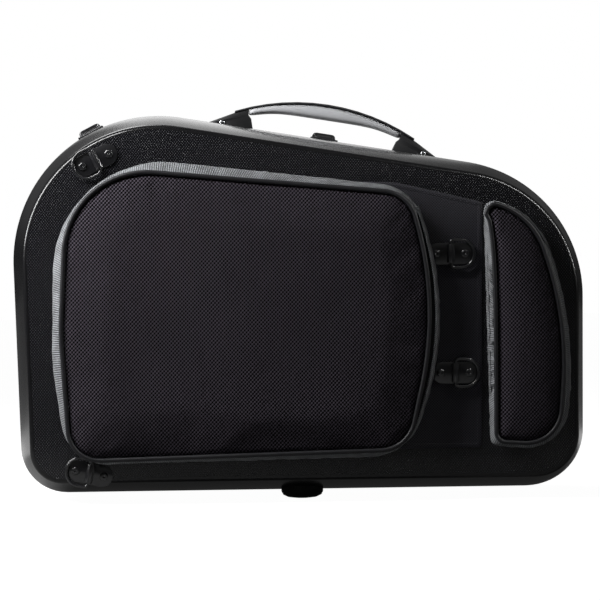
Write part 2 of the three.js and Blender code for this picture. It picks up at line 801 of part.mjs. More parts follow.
// Lever: a pressed channel, rounded at its tail and shoulders, eyes for pin and bail in its flanges.
function latchLever() {
  const half = LATCH_WIDTH / 2;
  const front = LATCH_PIVOT_Y - FIT;
  const tailHeight = LATCH_HEIGHT - LATCH_SKIN;
  const cheek = BAIL_Y + BAIL_EYE_RADIUS;
  const low = BAIL_HEIGHT - BAIL_EYE_RADIUS;
  const web = [
    [front, LATCH_HEIGHT],
    [front, LATCH_PIVOT_HEIGHT + EAR_RADIUS + FIT],
    [LATCH_PIVOT_Y - EAR_RADIUS, LATCH_PIVOT_HEIGHT],
    [LATCH_PIVOT_Y - EAR_RADIUS / 2, LATCH_PIVOT_HEIGHT - EAR_RADIUS],
    [BAIL_Y - EAR_RADIUS / 2, low],
    [BAIL_Y + EAR_RADIUS / 2, low],
    [cheek, BAIL_HEIGHT],
    [LATCH_TAIL, tailHeight - LATCH_SKIN],
    [LATCH_TAIL, tailHeight],
    [BAIL_Y, LATCH_HEIGHT],
  ];
  const below = [
    [front - OVERRUN, LATCH_HEIGHT - LATCH_SKIN],
    [BAIL_Y, LATCH_HEIGHT - LATCH_SKIN],
    [LATCH_TAIL + OVERRUN, tailHeight - LATCH_SKIN - FIT],
    [LATCH_TAIL + OVERRUN, -LATCH_HEIGHT],
    [front - OVERRUN, -LATCH_HEIGHT],
  ];
  const inside = half - 2 * LATCH_SKIN + FIT;
  const pressed = cut(
    alongX(web, -half, half),
    alongX(below, -inside, inside),
    latchBore(LATCH_PIVOT_Y, LATCH_PIVOT_HEIGHT, LATCH_PIN_DIAMETER),
    latchBore(BAIL_Y, BAIL_HEIGHT, BAIL_WIRE),
  );
  const corner = LATCH_HEIGHT / 2;
  const [y0, y1] = [LATCH_PIVOT_Y - EAR_RADIUS - WELD, LATCH_TAIL + WELD];
  const plan = new THREE.Shape();
  plan.moveTo(-half, y0);
  plan.lineTo(half, y0);
  plan.lineTo(half, y1 - corner);
  plan.quadraticCurveTo(half, y1, half - corner, y1);
  plan.lineTo(corner - half, y1);
  plan.quadraticCurveTo(-half, y1, -half, y1 - corner);
  plan.closePath();
  const planBody = new THREE.ExtrudeGeometry(plan, {
    depth: 2 * LATCH_TAIL,
    bevelEnabled: false,
    curveSegments: BEND_STEPS,
  });
  const arch = new THREE.Shape();
  arch.moveTo(-LATCH_HEIGHT, -half);
  arch.lineTo(LATCH_HEIGHT - corner, -half);
  arch.quadraticCurveTo(LATCH_HEIGHT, -half, LATCH_HEIGHT, corner - half);
  arch.lineTo(LATCH_HEIGHT, half - corner);
  arch.quadraticCurveTo(LATCH_HEIGHT, half, LATCH_HEIGHT - corner, half);
  arch.lineTo(-LATCH_HEIGHT, half);
  arch.closePath();
  const rounded = common(pressed, planBody.translate(0, 0, -LATCH_TAIL));
  return common(rounded, alongY(arch, 0, 2 * LATCH_TAIL, BEND_STEPS));
}

// Bail: a wire whose bent ends turn in the lever and whose bar lies behind the keeper's hook.
function latchBail() {
  const arm = (BAIL_WIDTH - BAIL_WIRE) / 2;
  const end = LATCH_WIDTH / 2 - 2 * LATCH_SKIN;
  const at = (x, y, z) => new THREE.Vector3(x, y, z);
  const line = bentLine(
    [
      at(end, BAIL_Y, BAIL_HEIGHT),
      at(arm, BAIL_Y, BAIL_HEIGHT),
      at(arm, BAR_Y, BAR_HEIGHT),
      at(-arm, BAR_Y, BAR_HEIGHT),
      at(-arm, BAIL_Y, BAIL_HEIGHT),
      at(-end, BAIL_Y, BAIL_HEIGHT),
    ],
    BAIL_WIRE / 2,
  );
  const slope = at(0, BAIL_HEIGHT - BAR_HEIGHT, BAR_Y - BAIL_Y).normalize().negate();
  return wire(line, slope, BAIL_WIRE);
}

// Keeper: a folded plate in the back half's channel whose upright stands before the bail's bar.
function latchKeeper() {
  const floor = -CHANNEL_DEPTH + FIT;
  const top = floor + KEEPER_THICKNESS;
  const near = BAR_Y + BAIL_WIRE / 2 + 2 * FIT;
  const hook = [
    [-KEEPER_PLATE_END, floor],
    [-LIP_GAP, floor],
    [-LIP_GAP, top],
    [near + KEEPER_THICKNESS, top],
    [near + KEEPER_THICKNESS, KEEPER_RISE],
    [near, KEEPER_RISE],
    [near, top],
    [-KEEPER_PLATE_END, top],
  ];
  return alongX(hook, -KEEPER_WIDTH / 2, KEEPER_WIDTH / 2);
}

function latch(name, spot, front, back, moving) {
  const frames = [front, back, moving].map((body) => {
    const frame = rimFrame(spot);
    body.add(frame);
    return frame;
  });
  const pinEnd = LATCH_WIDTH / 2;
  const pin = rodX(LATCH_PIN_DIAMETER, -pinEnd, pinEnd, LATCH_PIVOT_Y, LATCH_PIVOT_HEIGHT, WIRE_SIDES);
  frames[0].add(piece(`latch_base_${name}`, latchBase(), nickel));
  frames[0].add(piece(`latch_pin_${name}`, pin, nickel));
  frames[1].add(piece(`latch_keeper_${name}`, latchKeeper(), nickel));
  frames[2].add(piece(`latch_lever_${name}`, latchLever(), nickel));
  frames[2].add(piece(`latch_bail_${name}`, latchBail(), nickel));
}

// Height of the handle's pivot above the rim: it stands on the wall.
const pivotHeight = wallHeight(HANDLE_Y) + HANDLE_PIVOT_HEIGHT;

// Height of the handle's arch above the rim, at a distance x from its middle.
function archHeight(x) {
  const drop = HANDLE_ARCH_RADIUS - Math.sqrt(HANDLE_ARCH_RADIUS ** 2 - x * x);
  return HANDLE_HEIGHT - drop;
}

function strap() {
  const half = STRAP_LENGTH / 2;
  const xs = Array.from({ length: 2 * SOFT_STEPS + 1 }, (_, i) => -half + (i / SOFT_STEPS) * half);
  const low = (x) => archHeight(x) - STRAP_THICKNESS;
  const sides = STRAP_WIDTH / 2;
  const rings = xs.map((x) => [
    new THREE.Vector3(x, HANDLE_Y - sides, low(x)),
    new THREE.Vector3(x, HANDLE_Y + sides, low(x)),
    new THREE.Vector3(x, HANDLE_Y + sides, archHeight(x)),
    new THREE.Vector3(x, HANDLE_Y - sides, archHeight(x)),
  ]);
  return loft(rings);
}

// Grip: flat below for the fingers, arched above under the strap, rounded at its sides.
function grip() {
  const half = GRIP_LENGTH / 2;
  const lowShares = [0, 0.22, 0.48, 0.68, 0.85, 1];
  const dropShares = [0, 0, 0, 0.16, 0.55, 1];
  const drop = GRIP_CLEARANCE - (archHeight(half) - STRAP_THICKNESS - GRIP_WIDTH / 3);
  const stations = lowShares.map((s, i) => ({ x: s * half, low: GRIP_CLEARANCE - dropShares[i] * drop }));
  const all = [...stations.slice(1).reverse().map((s) => ({ ...s, x: -s.x })), ...stations];
  const rings = all.map(({ x, low }) => {
    const top = archHeight(x) - STRAP_THICKNESS - FIT;
    const [middle, rise] = [(top + low) / 2, (top - low) / 2];
    return disc(1, 2 * WIRE_SIDES).map(([a, b]) => {
      const bulge = 1 / Math.max(Math.abs(a), Math.abs(b)) ** 0.5;
      return new THREE.Vector3(x, HANDLE_Y + (a * bulge * GRIP_WIDTH) / 2, middle + b * bulge * rise);
    });
  });
  return loft(rings);
}

// End cap: a wedge that runs from the grip down to the case, hollow round the bracket's lug.
function handleCap(side) {
  const under = (x) => archHeight(x) - STRAP_THICKNESS - FIT;
  const bottom = pivotHeight - CAP_WIDTH / 2;
  const half = STRAP_LENGTH / 2;
  const crest = GRIP_LENGTH / 2 + FIT;
  const wedge = [
    [CAP_HEEL, bottom],
    [CAP_HEEL, pivotHeight],
    [(CAP_HEEL + crest) / 2, (pivotHeight + GRIP_CLEARANCE) / 2],
    [crest, GRIP_CLEARANCE - GRIP_WIDTH / 3],
    [crest, under(crest)],
    [(crest + half) / 2, under((crest + half) / 2)],
    [half, under(half)],
    [CAP_REACH, pivotHeight],
    [CAP_REACH, bottom],
  ];
  const flat = alongY(wedge.map(([x, z]) => [z, x]), HANDLE_Y - CAP_WIDTH / 2, HANDLE_Y + CAP_WIDTH / 2);
  const radius = CAP_WIDTH / 2;
  const section = new THREE.Shape();
  section.moveTo(HANDLE_Y + radius, pivotHeight);
  section.lineTo(HANDLE_Y + radius, HANDLE_HEIGHT);
  section.lineTo(HANDLE_Y - radius, HANDLE_HEIGHT);
  section.lineTo(HANDLE_Y - radius, pivotHeight);
  section.absarc(HANDLE_Y, pivotHeight, radius, Math.PI, 2 * Math.PI);
  const tomb = alongX(section, 0, CAP_REACH + OVERRUN, WIRE_SIDES);
  const slotHalf = LUG_WIDTH / 2 + FIT;
  const slotTop = pivotHeight + LUG_RADIUS + 2 * FIT;
  const slot = block(
    LUG_POSITION - slotHalf,
    LUG_POSITION + slotHalf,
    HANDLE_Y - LUG_RADIUS - FIT,
    HANDLE_Y + CAP_WIDTH,
    bottom - OVERRUN,
    slotTop,
  );
  const pinHalf = HANDLE_PIN_LENGTH / 2 + FIT;
  const bore = rodX(
    HANDLE_PIN_DIAMETER + 2 * FIT,
    LUG_POSITION - pinHalf,
    LUG_POSITION + pinHalf,
    HANDLE_Y,
    pivotHeight,
  );
  const screwHole = rodY(
    CAP_SCREW_DIAMETER + 2 * FIT,
    HANDLE_Y - CAP_WIDTH,
    HANDLE_Y,
    CAP_SCREW_POSITION,
    CAP_SCREW_HEIGHT,
    WIRE_SIDES,
  );
  const cap = cut(common(flat, tomb), slot, bore, screwHole);
  return side > 0 ? cap : mirrored(cap);
}

function mirrored(geometry) {
  return closed(geometry.clone().scale(-1, 1, 1));
}

// Bracket on the front half's wall: a plate with the lug that the cap turns on.
function handleBracket(side) {
  const lift = FIT / Math.cos(draft);
  const low = (y) => wallHeight(y) + lift;
  const high = (y) => low(y) + BRACKET_THICKNESS / Math.cos(draft);
  const [y0, y1] = [HANDLE_Y - BRACKET_WIDTH / 2, HANDLE_Y + BRACKET_WIDTH / 2];
  const [x0, x1] = [LUG_POSITION - BRACKET_LENGTH / 2, LUG_POSITION + BRACKET_LENGTH / 2];
  const plate = alongX([[y0, low(y0)], [y1, low(y1)], [y1, high(y1)], [y0, high(y0)]], x0, x1);
  const root = LUG_RADIUS;
  const stem = [
    [HANDLE_Y - root, low(HANDLE_Y - root)],
    [HANDLE_Y + root, low(HANDLE_Y + root)],
    [HANDLE_Y + root, pivotHeight],
    [HANDLE_Y - root, pivotHeight],
  ];
  const [a, b] = [LUG_POSITION - LUG_WIDTH / 2, LUG_POSITION + LUG_WIDTH / 2];
  const eye = rodX(2 * LUG_RADIUS, a, b, HANDLE_Y, pivotHeight);
  const bore = rodX(HANDLE_PIN_DIAMETER + 2 * FIT, a - FIT, b + FIT, HANDLE_Y, pivotHeight);
  const bracket = cut(joined(plate, alongX(stem, a, b), eye), bore);
  return side > 0 ? bracket : mirrored(bracket);
}

function capScrew(side) {
  const [shank, head] = [CAP_SCREW_DIAMETER / 2, CAP_SCREW_HEAD / 2];
  const rise = head / 2;
  const depth = CAP_WIDTH / 2 - FIT;
  const profile = [
    [0, -depth],
    [shank, -depth],
    [shank, FIT],
    [head, FIT],
    [head * Math.cos(Math.PI / 6), FIT + rise / 2],
    [head / 2, FIT + rise * Math.cos(Math.PI / 6)],
    [0, FIT + rise],
  ];
  const screw = revolved(profile, WIRE_SIDES).rotateX(Math.PI);
  return screw.translate(side * CAP_SCREW_POSITION, HANDLE_Y - CAP_WIDTH / 2, CAP_SCREW_HEIGHT);
}

function handle(front, moving) {
  const spot = onTop(0.5);
  const fixed = rimFrame(spot);
  const turning = rimFrame(spot);
  front.add(fixed);
  moving.add(turning);
  for (const [name, side] of [["left", -1], ["right", 1]]) {
    const middle = side * LUG_POSITION;
    const half = HANDLE_PIN_LENGTH / 2;
    const pin = rodX(HANDLE_PIN_DIAMETER, middle - half, middle + half, HANDLE_Y, pivotHeight);
    fixed.add(piece(`handle_bracket_${name}`, handleBracket(side), blackMetal));
    fixed.add(piece(`handle_pin_${name}`, pin, nickel));
    turning.add(piece(`handle_cap_${name}`, handleCap(side), capPlastic));
    turning.add(piece(`handle_screw_${name}`, capScrew(side), nickel));
  }
  turning.add(piece("handle_grip", grip(), gripPlastic));
  turning.add(piece("handle_strap", strap(), strapVinyl));
}

const panelTop = FIT + PANEL_THICKNESS;

// Cushion: tucked in at its foot, full at its belly, drawn in to its seam and crowned on top.
function cushion(outerShares, outerRadii, seamShares, seamRadii, base) {
  const belly = outline(cornersOf(outerShares, outerRadii), SOFT_STEPS);
  const seam = outline(cornersOf(seamShares, seamRadii), SOFT_STEPS);
  const y = (h) => -(HALF_DEPTH + h);
  const tuck = inset(belly, CUSHION_TUCK);
  const middle = middleOf(seam);
  const top = (share) => CUSHION_RISE + CUSHION_CROWN * (1 - share ** 3);
  const rings = [
    ring(tuck, y(base)),
    ring(tuck, y(base + CUSHION_BELLY / 3)),
    ring(inset(belly, CUSHION_TUCK / 10), y(CUSHION_BELLY * 0.7)),
    ring(belly, y(CUSHION_BELLY)),
    ring(between(belly, seam, 0.4), y((CUSHION_BELLY + 2 * CUSHION_RISE) / 3)),
    ring(seam, y(CUSHION_RISE)),
    ...[0.85, 0.55].map((s) => ring(shrunk(seam, s), y(top(s)))),
  ];
  return loft(rings, undefined, new THREE.Vector3(middle.x, y(top(0)), middle.y));
}

function panel() {
  const edge = outline(cornersOf(PANEL_SHARES, PANEL_RADII), SOFT_STEPS);
  return loft([ring(edge, -HALF_DEPTH - FIT), ring(edge, -HALF_DEPTH - panelTop)]);
}

// Where the foot of the large cushion ends on its right side, at a height.
function footEdge(z) {
  const belly = outline(cornersOf(LARGE_CUSHION_SHARES, LARGE_CUSHION_RADII), SOFT_STEPS);
  const foot = inset(belly, CUSHION_TUCK);
  const crossings = foot.flatMap((a, i) => {
    const b = foot[(i + 1) % foot.length];
    return (a.z - z) * (b.z - z) < 0 ? [a.x + ((b.x - a.x) * (z - a.z)) / (b.z - a.z)] : [];
  });
  return Math.max(...crossings);
}

// Centre of a fitting's plate on the face.
function plateCentre(fitting) {
  if (!fitting.gap) return onBody(fitting.centreShares);
  const z = FOOT_HEIGHT + fitting.heightShare * BODY_HEIGHT;
  return { x: footEdge(z) + fitting.gap + PLATE_LENGTH / 2, z };
}

// Frame of a ring fitting: x toward the ring, z out of the face.
function fittingFrame(fitting) {
  const spot = plateCentre(fitting);
  const angle = THREE.MathUtils.degToRad(fitting.turn);
  const toward = new THREE.Vector3(Math.cos(angle), 0, Math.sin(angle));
  const out = new THREE.Vector3(0, -1, 0);
  const across = out.clone().cross(toward);
  const frame = new THREE.Group();
  frame.quaternion.setFromRotationMatrix(new THREE.Matrix4().makeBasis(toward, across, out));
  frame.position.set(spot.x, -HALF_DEPTH - seatOf(fitting), spot.z);
  return frame;
}

// Height of the surface that carries a fitting above the face: the bare shell or the panel.
function seatOf(fitting) {
  return fitting.name.endsWith("right") ? panelTop : 0;
}

const plateTop = FIT + PLATE_THICKNESS;
const barHeight = plateTop + FIT + RING_WIRE / 2;

function strapPlate() {
  const half = PLATE_WIDTH / 2;
  const straight = PLATE_LENGTH / 2 - half;
  const shape = new THREE.Shape();
  shape.absarc(straight, 0, half, -Math.PI / 2, Math.PI / 2);
  shape.absarc(-straight, 0, half, Math.PI / 2, (3 * Math.PI) / 2);
  const holes = [-1, 1].map((s) => {
    const points = shifted(disc(RIVET_SHANK / 2 + FIT, WIRE_SIDES), (s * RIVET_SPACING) / 2, 0);
    return new THREE.Path(points.map(([x, y]) => new THREE.Vector2(x, y)));
  });
  shape.holes.push(...holes);
  const plate = new THREE.ExtrudeGeometry(shape, {
    depth: PLATE_THICKNESS,
    bevelEnabled: false,
    curveSegments: WIRE_SIDES,
  });
  plate.translate(0, 0, FIT);
  const inner = RING_WIRE / 2 + FIT;
  const outer = inner + CURL_THICKNESS;
  const curl = new THREE.Shape();
  const open = -Math.PI / 9;
  curl.moveTo(-outer, plateTop - barHeight - PLATE_THICKNESS / 2);
  curl.lineTo(-outer, 0);
  curl.absarc(0, 0, outer, Math.PI, open, true);
  curl.absarc(0, 0, inner, open, Math.PI, false);
  curl.lineTo(-inner, plateTop - barHeight - PLATE_THICKNESS / 2);
  curl.closePath();
  const run = new THREE.ExtrudeGeometry(curl, {
    depth: CURL_WIDTH,
    bevelEnabled: false,
    curveSegments: WIRE_SIDES,
  });
  run.rotateX(Math.PI / 2).translate(0, CURL_WIDTH / 2, barHeight);
  return joined(plate, run);
}

function dRing() {
  const half = RING_WIDTH / 2 - RING_WIRE / 2;
  const reach = RING_REACH - RING_WIRE / 2;
  const corners = [
    { x: 0, z: -half, r: RING_CORNER_RADIUS },
    { x: 0, z: half, r: RING_CORNER_RADIUS },
    { x: reach, z: half, r: half - FIT },
    { x: reach, z: -half, r: half - FIT },
  ];
  const rings = outline(corners, BEND_STEPS).map((p) =>
    disc(RING_WIRE / 2, WIRE_SIDES).map(
      ([a, b]) => new THREE.Vector3(p.x + p.nx * a, p.z + p.nz * a, barHeight + b),
    ),
  );
  return hoop(rings);
}

function rivet(seat) {
  const [shank, head, tail] = [RIVET_SHANK / 2, RIVET_HEAD / 2, RIVET_TAIL / 2];
  const inside = -seat - WALL - FIT;
  const over = plateTop + FIT;
  const profile = [
    [0, inside - RIVET_RISE],
    [tail * Math.cos(Math.PI / 6), inside - RIVET_RISE],
    [tail, inside],
    [shank, inside],
    [shank, over],
    [head, over],
    [head * Math.cos(Math.PI / 6), over + RIVET_RISE * 0.6],
    [head / 2, over + RIVET_RISE * 0.9],
    [0, over + RIVET_RISE],
  ];
  return revolved(profile, WIRE_SIDES).rotateX(Math.PI / 2);
}

// Places of a fitting's rivets in the case's own frame.
function rivetPlaces(fitting) {
  const spot = plateCentre(fitting);
  const angle = THREE.MathUtils.degToRad(fitting.turn);
  return [-1, 1].map((s) => ({
    x: spot.x + (s * RIVET_SPACING * Math.cos(angle)) / 2,
    z: spot.z + (s * RIVET_SPACING * Math.sin(angle)) / 2,
  }));
}

function rivetHoles(fittings, from, to) {
  return fittings.flatMap(rivetPlaces).map((p) => rodY(RIVET_SHANK + 2 * FIT, from, to, p.x, p.z));
}

function ringFittings(back, moving) {
  for (const fitting of RING_FITTINGS) {
    const fixed = fittingFrame(fitting);
    const turning = fittingFrame(fitting);
    back.add(fixed);
    moving.add(turning);
    fixed.add(piece(`ring_plate_${fitting.name}`, strapPlate(), blackMetal));
    turning.add(piece(`d_ring_${fitting.name}`, dRing(), blackMetal));
    for (const [end, s] of [["outer", 1], ["inner", -1]]) {
      const pin = rivet(seatOf(fitting)).translate((s * RIVET_SPACING) / 2, 0, 0);
      fixed.add(piece(`rivet_${fitting.name}_${end}`, pin, nickel));
    }
  }
}

function pocket(fitting) {
  return rivetPlaces(fitting).map((p) => {
    const depth = WALL + 2 * FIT + RIVET_RISE + FIT;
    return rodY(RIVET_TAIL + 2 * FIT, -HALF_DEPTH + WALL / 2, -HALF_DEPTH + depth, p.x, p.z);
  });
}

// Back half: shell, valance, gasket, liner, foot and padding.
function backHalf() {
  const half = new THREE.Group();
  const through = [-HALF_DEPTH - OVERRUN, -HALF_DEPTH + WALL + OVERRUN];
  const shell = cut(
    halfShell(-1, 0),
    ...hingePlaces.map(hingeNotch),
    ...rivetHoles(RING_FITTINGS, ...through),
  );
  const onPanel = RING_FITTINGS.filter((f) => seatOf(f) > 0);
  const panelBody = cut(panel(), ...rivetHoles(onPanel, ...through));
  const liner = cut(backLiner(), ...RING_FITTINGS.flatMap(pocket));
  half.add(piece("back_shell", shell, shellFinish));
  half.add(piece("back_valance", backValance(), aluminium));
  half.add(piece("seam_gasket", gasket(), gasketRubber));
  half.add(piece("back_liner", liner, plushFoam));
  half.add(piece("back_foot", foot(-1), footRubber));
  half.add(piece("fabric_panel", panelBody, panelFabric));
  const large = [LARGE_CUSHION_SHARES, LARGE_CUSHION_RADII, LARGE_SEAM_SHARES, LARGE_SEAM_RADII];
  const small = [SMALL_CUSHION_SHARES, SMALL_CUSHION_RADII, SMALL_SEAM_SHARES, SMALL_SEAM_RADII];
  half.add(piece("large_cushion", cushion(...large, panelTop + FIT), meshFabric));
  half.add(piece("small_cushion", cushion(...small, FIT), meshFabric));
  return half;
}

const front = frontHalf();
const back = backHalf();
const moving = new THREE.Group();
hinges(front, back);
latch("top", onTop(0.5), front, back, moving);
latch("left", onCrown(0.637), front, back, moving);
handle(front, moving);
ringFittings(back, moving);

// The seam stands off the middle, so that the whole depth is centred on the origin.
const frontReach = HALF_DEPTH + FACE_CROWN;
const backReach = HALF_DEPTH + CUSHION_RISE + CUSHION_CROWN;
const hornCase = new THREE.Group();
hornCase.add(front, back, moving);
hornCase.position.y = (backReach - frontReach) / 2;

export default hornCase;
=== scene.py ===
"""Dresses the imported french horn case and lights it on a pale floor, seen from its padded back."""

import json
import logging
import random
from collections.abc import Callable, Sequence
from dataclasses import dataclass, field
from enum import Enum
from math import acos, atan, atan2, cos, hypot, pi, radians, sin, sqrt, tan, tau

import bmesh
import bpy
from mathutils import Matrix, Vector


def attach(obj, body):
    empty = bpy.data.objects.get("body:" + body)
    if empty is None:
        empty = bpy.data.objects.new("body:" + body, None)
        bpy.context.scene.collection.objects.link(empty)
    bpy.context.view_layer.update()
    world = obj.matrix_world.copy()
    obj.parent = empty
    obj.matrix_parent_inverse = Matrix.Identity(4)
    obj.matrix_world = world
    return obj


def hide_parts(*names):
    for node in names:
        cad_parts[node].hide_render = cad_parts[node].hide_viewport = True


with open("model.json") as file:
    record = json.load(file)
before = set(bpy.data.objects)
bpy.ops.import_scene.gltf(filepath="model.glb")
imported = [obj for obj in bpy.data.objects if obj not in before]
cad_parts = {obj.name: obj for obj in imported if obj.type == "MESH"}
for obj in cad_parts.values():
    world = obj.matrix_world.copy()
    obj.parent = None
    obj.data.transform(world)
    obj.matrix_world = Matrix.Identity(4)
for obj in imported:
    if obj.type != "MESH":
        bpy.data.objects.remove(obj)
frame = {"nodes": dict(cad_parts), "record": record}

Object = bpy.types.Object
Socket = bpy.types.NodeSocket
Pair = tuple[float, float]
Pairs = tuple[Pair, ...]
Triple = tuple[float, float, float]
Rings = Sequence[Sequence[Vector]]
Stations = Sequence["Station"]
LOG = logging.getLogger("horn_case")
MM = 0.001
CASE_LENGTH = 600 * MM
BODY_HEIGHT = 395 * MM
FOOT_HEIGHT = 6.7 * MM
HALF_DEPTH = 107 * MM
SEAM_Y = 13.25 * MM
WALL = 3 * MM
RIM_DEPTH = 14 * MM
DRAFT_INSET = 16 * MM
DRAFT = atan(DRAFT_INSET / (HALF_DEPTH - RIM_DEPTH))
ARC_STEPS = 60
SIDE_STEPS = 40
TINY = 1e-9
WHOLE = (0.0, 1.0)
NAMES = frame["nodes"]
BODIES = frame["record"]["behaviour"]["bodies"]
BODY_OF = {n: b for b, members in BODIES.items() for n in members}


def linear(colour: str) -> tuple[float, float, float, float]:
    """Turns an sRGB hex colour to linear.

    Args:
        colour: six hex digits.

    Returns:
        Linear red, green and blue, and an alpha of 1.
    """
    channels = [int(colour[i : i + 2], 16) / 255 for i in (0, 2, 4)]
    lit = [c / 12.92 if c <= 0.04045 else ((c + 0.055) / 1.055) ** 2.4 for c in channels]
    return (*lit, 1.0)


# --- nodes


def blank_tree(owner: bpy.types.ID) -> bpy.types.NodeTree:
    """Gives a material or a world an empty node tree."""
    owner.use_nodes = True
    owner.node_tree.nodes.clear()
    return owner.node_tree


def feed(tree, socket: Socket, value) -> None:
    """Sets an input to a number or a colour, or links it to the socket that feeds it."""
    if isinstance(value, Socket):
        tree.links.new(value, socket)
    else:
        socket.default_value = value


def add_node(tree, kind: str, inputs: dict | None = None, **props) -> bpy.types.Node:
    """Adds a node to a tree.

    Args:
        tree: the node tree.
        kind: the node's type.
        inputs: numbers, colours or sockets for its inputs, by name or place.
        **props: settings of the node itself.

    Returns:
        The new node.
    """
    node = tree.nodes.new(kind)
    for key, value in props.items():
        setattr(node, key, value)
    for key, value in (inputs or {}).items():
        feed(tree, node.inputs[key], value)
    return node


def computed(tree, operation: str, *terms, clamp: bool = False) -> Socket:
    """Does a sum on numbers or sockets and returns the result."""
    inputs = dict(enumerate(terms))
    node = add_node(tree, "ShaderNodeMath", inputs, operation=operation, use_clamp=clamp)
    return node.outputs[0]


def ranged(tree, value, ends: tuple, reach: tuple, smooth: bool = True) -> Socket:
    """Maps a value from one range to another and returns the result.

    Args:
        tree: the node tree.
        value: the socket to map.
        ends: the range it comes from.
        reach: the range it goes to, in numbers or sockets.
        smooth: whether it eases in and out.

    Returns:
        The mapped value.
    """
    names = ("Value", "From Min", "From Max", "To Min", "To Max")
    style = "SMOOTHSTEP" if smooth else "LINEAR"
    inputs = dict(zip(names, (value, *ends, *reach)))
    node = add_node(tree, "ShaderNodeMapRange", inputs, interpolation_type=style)
    return node.outputs["Result"]


def mixed(tree, share: Socket, first, second) -> Socket:
    """Mixes two colours or sockets by a share and returns the colour."""
    mix = add_node(tree, "ShaderNodeMix", {"Factor": share}, data_type="RGBA")
    for socket, colour in zip([s for s in mix.inputs if s.type == "RGBA"], (first, second)):
        feed(tree, socket, colour)
    return next(s for s in mix.outputs if s.type == "RGBA")


def axes(tree, source: Socket):
    """Splits a vector and returns the outputs for X, Y and Z."""
    return add_node(tree, "ShaderNodeSeparateXYZ", {"Vector": source}).outputs


# --- finishes


@dataclass(frozen=True)
class Finish:
    """A moulded or painted surface with a fine grain and uneven colour and gloss."""

    name: str
    colour: str
    roughness: float
    metallic: float = 0.0
    specular: float = 0.5
    coat: float = 0.0
    coat_roughness: float = 0.1
    sheen: float = 0.0
    grain: float = 0.6 * MM
    relief: float = 0.02 * MM
    unevenness: float = 0.12
    sunk: bool = False
    gloss_spread: float = 0.15
    cloud_scale: float = 28
    cloud_detail: float = 4

    def material(self) -> bpy.types.Material:
        """Builds the material, once for each finish."""
        known = bpy.data.materials.get(self.name)
        if known:
            return known
        material = bpy.data.materials.new(self.name)
        tree = blank_tree(material)
        inputs = {
            "Base Color": linear(self.colour),
            "Roughness": self.roughness,
            "Metallic": self.metallic,
            "Specular IOR Level": self.specular,
            "Coat Weight": self.coat,
            "Coat Roughness": self.coat_roughness,
            "Sheen Weight": self.sheen,
        }
        shader = add_node(tree, "ShaderNodeBsdfPrincipled", inputs)
        add_node(tree, "ShaderNodeOutputMaterial", {"Surface": shader.outputs["BSDF"]})
        place = add_node(tree, "ShaderNodeTexCoord").outputs
        looks, height = self.dress(tree, place)
        for name, source in looks.items():
            tree.links.new(source, shader.inputs[name])
        inputs = {"Strength": 1.0, "Distance": self.relief, "Height": height}
        bump = add_node(tree, "ShaderNodeBump", inputs, invert=self.sunk)
        tree.links.new(bump.outputs["Normal"], shader.inputs["Normal"])
        return material

    def tone(self, factor: float) -> tuple[float, float, float, float]:
        """Gives the finish's linear colour, darker or lighter by a factor."""
        parts = [int(self.colour[i : i + 2], 16) for i in (0, 2, 4)]
        return linear("".join(f"{min(255, round(p * factor)):02x}" for p in parts))

    def clouded(self, tree, spot) -> tuple[Socket, Socket]:
        """Gives a cloud, and the finish's colour as the cloud makes it uneven."""
        inputs = {"Scale": self.cloud_scale, "Detail": self.cloud_detail, "Vector": spot}
        cloud = add_node(tree, "ShaderNodeTexNoise", inputs).outputs["Fac"]
        low, high = self.tone(1 - self.unevenness), self.tone(1 + self.unevenness)
        return cloud, mixed(tree, cloud, low, high)

    def dress(self, tree, place) -> tuple[dict[str, Socket], Socket]:
        """Returns the cloudy colour and the uneven gloss, and the height of the grain."""
        spot = place["Object"]
        cloud, colour = self.clouded(tree, spot)
        dull = min(1, self.roughness * (1 + self.gloss_spread))
        gloss = ranged(tree, cloud, WHOLE, (self.roughness * (1 - self.gloss_spread), dull), False)
        grain = add_node(tree, "ShaderNodeTexNoise", {"Scale": 1 / self.grain, "Vector": spot})
        return {"Base Color": colour, "Roughness": gloss}, grain.outputs["Fac"]


@dataclass(frozen=True)
class Lattice(Finish):
    """A surface with staggered dimples or holes: two crossing waves set the pattern."""

    cloud_scale: float = 14
    cloud_detail: float = 3
    pitch_x: float = 3.2 * MM
    pitch_z: float = 3.4 * MM
    lean: float = 0.5
    hole_and_glint: str = "000000"
    threshold: Pair = (0.2, 0.5)
    flatness: Pair | None = None
    sunk: bool = True

    def dress(self, tree, place) -> tuple[dict[str, Socket], Socket]:
        """Returns the lattice's colour and depth, on flat faces alone if asked."""
        spot = place["Object"]
        waves = []
        for side, weight in ((1, 1 - self.lean), (-1, self.lean)):
            count = (tau / self.pitch_x, 0, side * tau / self.pitch_z)
            inputs = {0: spot, 1: count}
            along = add_node(tree, "ShaderNodeVectorMath", inputs, operation="DOT_PRODUCT")
            wave = computed(tree, "COSINE", along.outputs["Value"])
            waves.append(computed(tree, "MULTIPLY", wave, weight))
        holes = ranged(tree, computed(tree, "ADD", *waves), self.threshold, WHOLE)
        if self.flatness:
            flat = computed(tree, "ABSOLUTE", axes(tree, place["Normal"])["Y"])
            share = ranged(tree, flat, self.flatness, WHOLE, False)
            holes = computed(tree, "MULTIPLY", holes, share)
        # On the shell the hole tone is lighter than the ground: the dimples are painted lighter, a
        # painted highlight for their glints.
        colour = mixed(tree, holes, self.clouded(tree, spot)[1], linear(self.hole_and_glint))
        return {"Base Color": colour}, holes


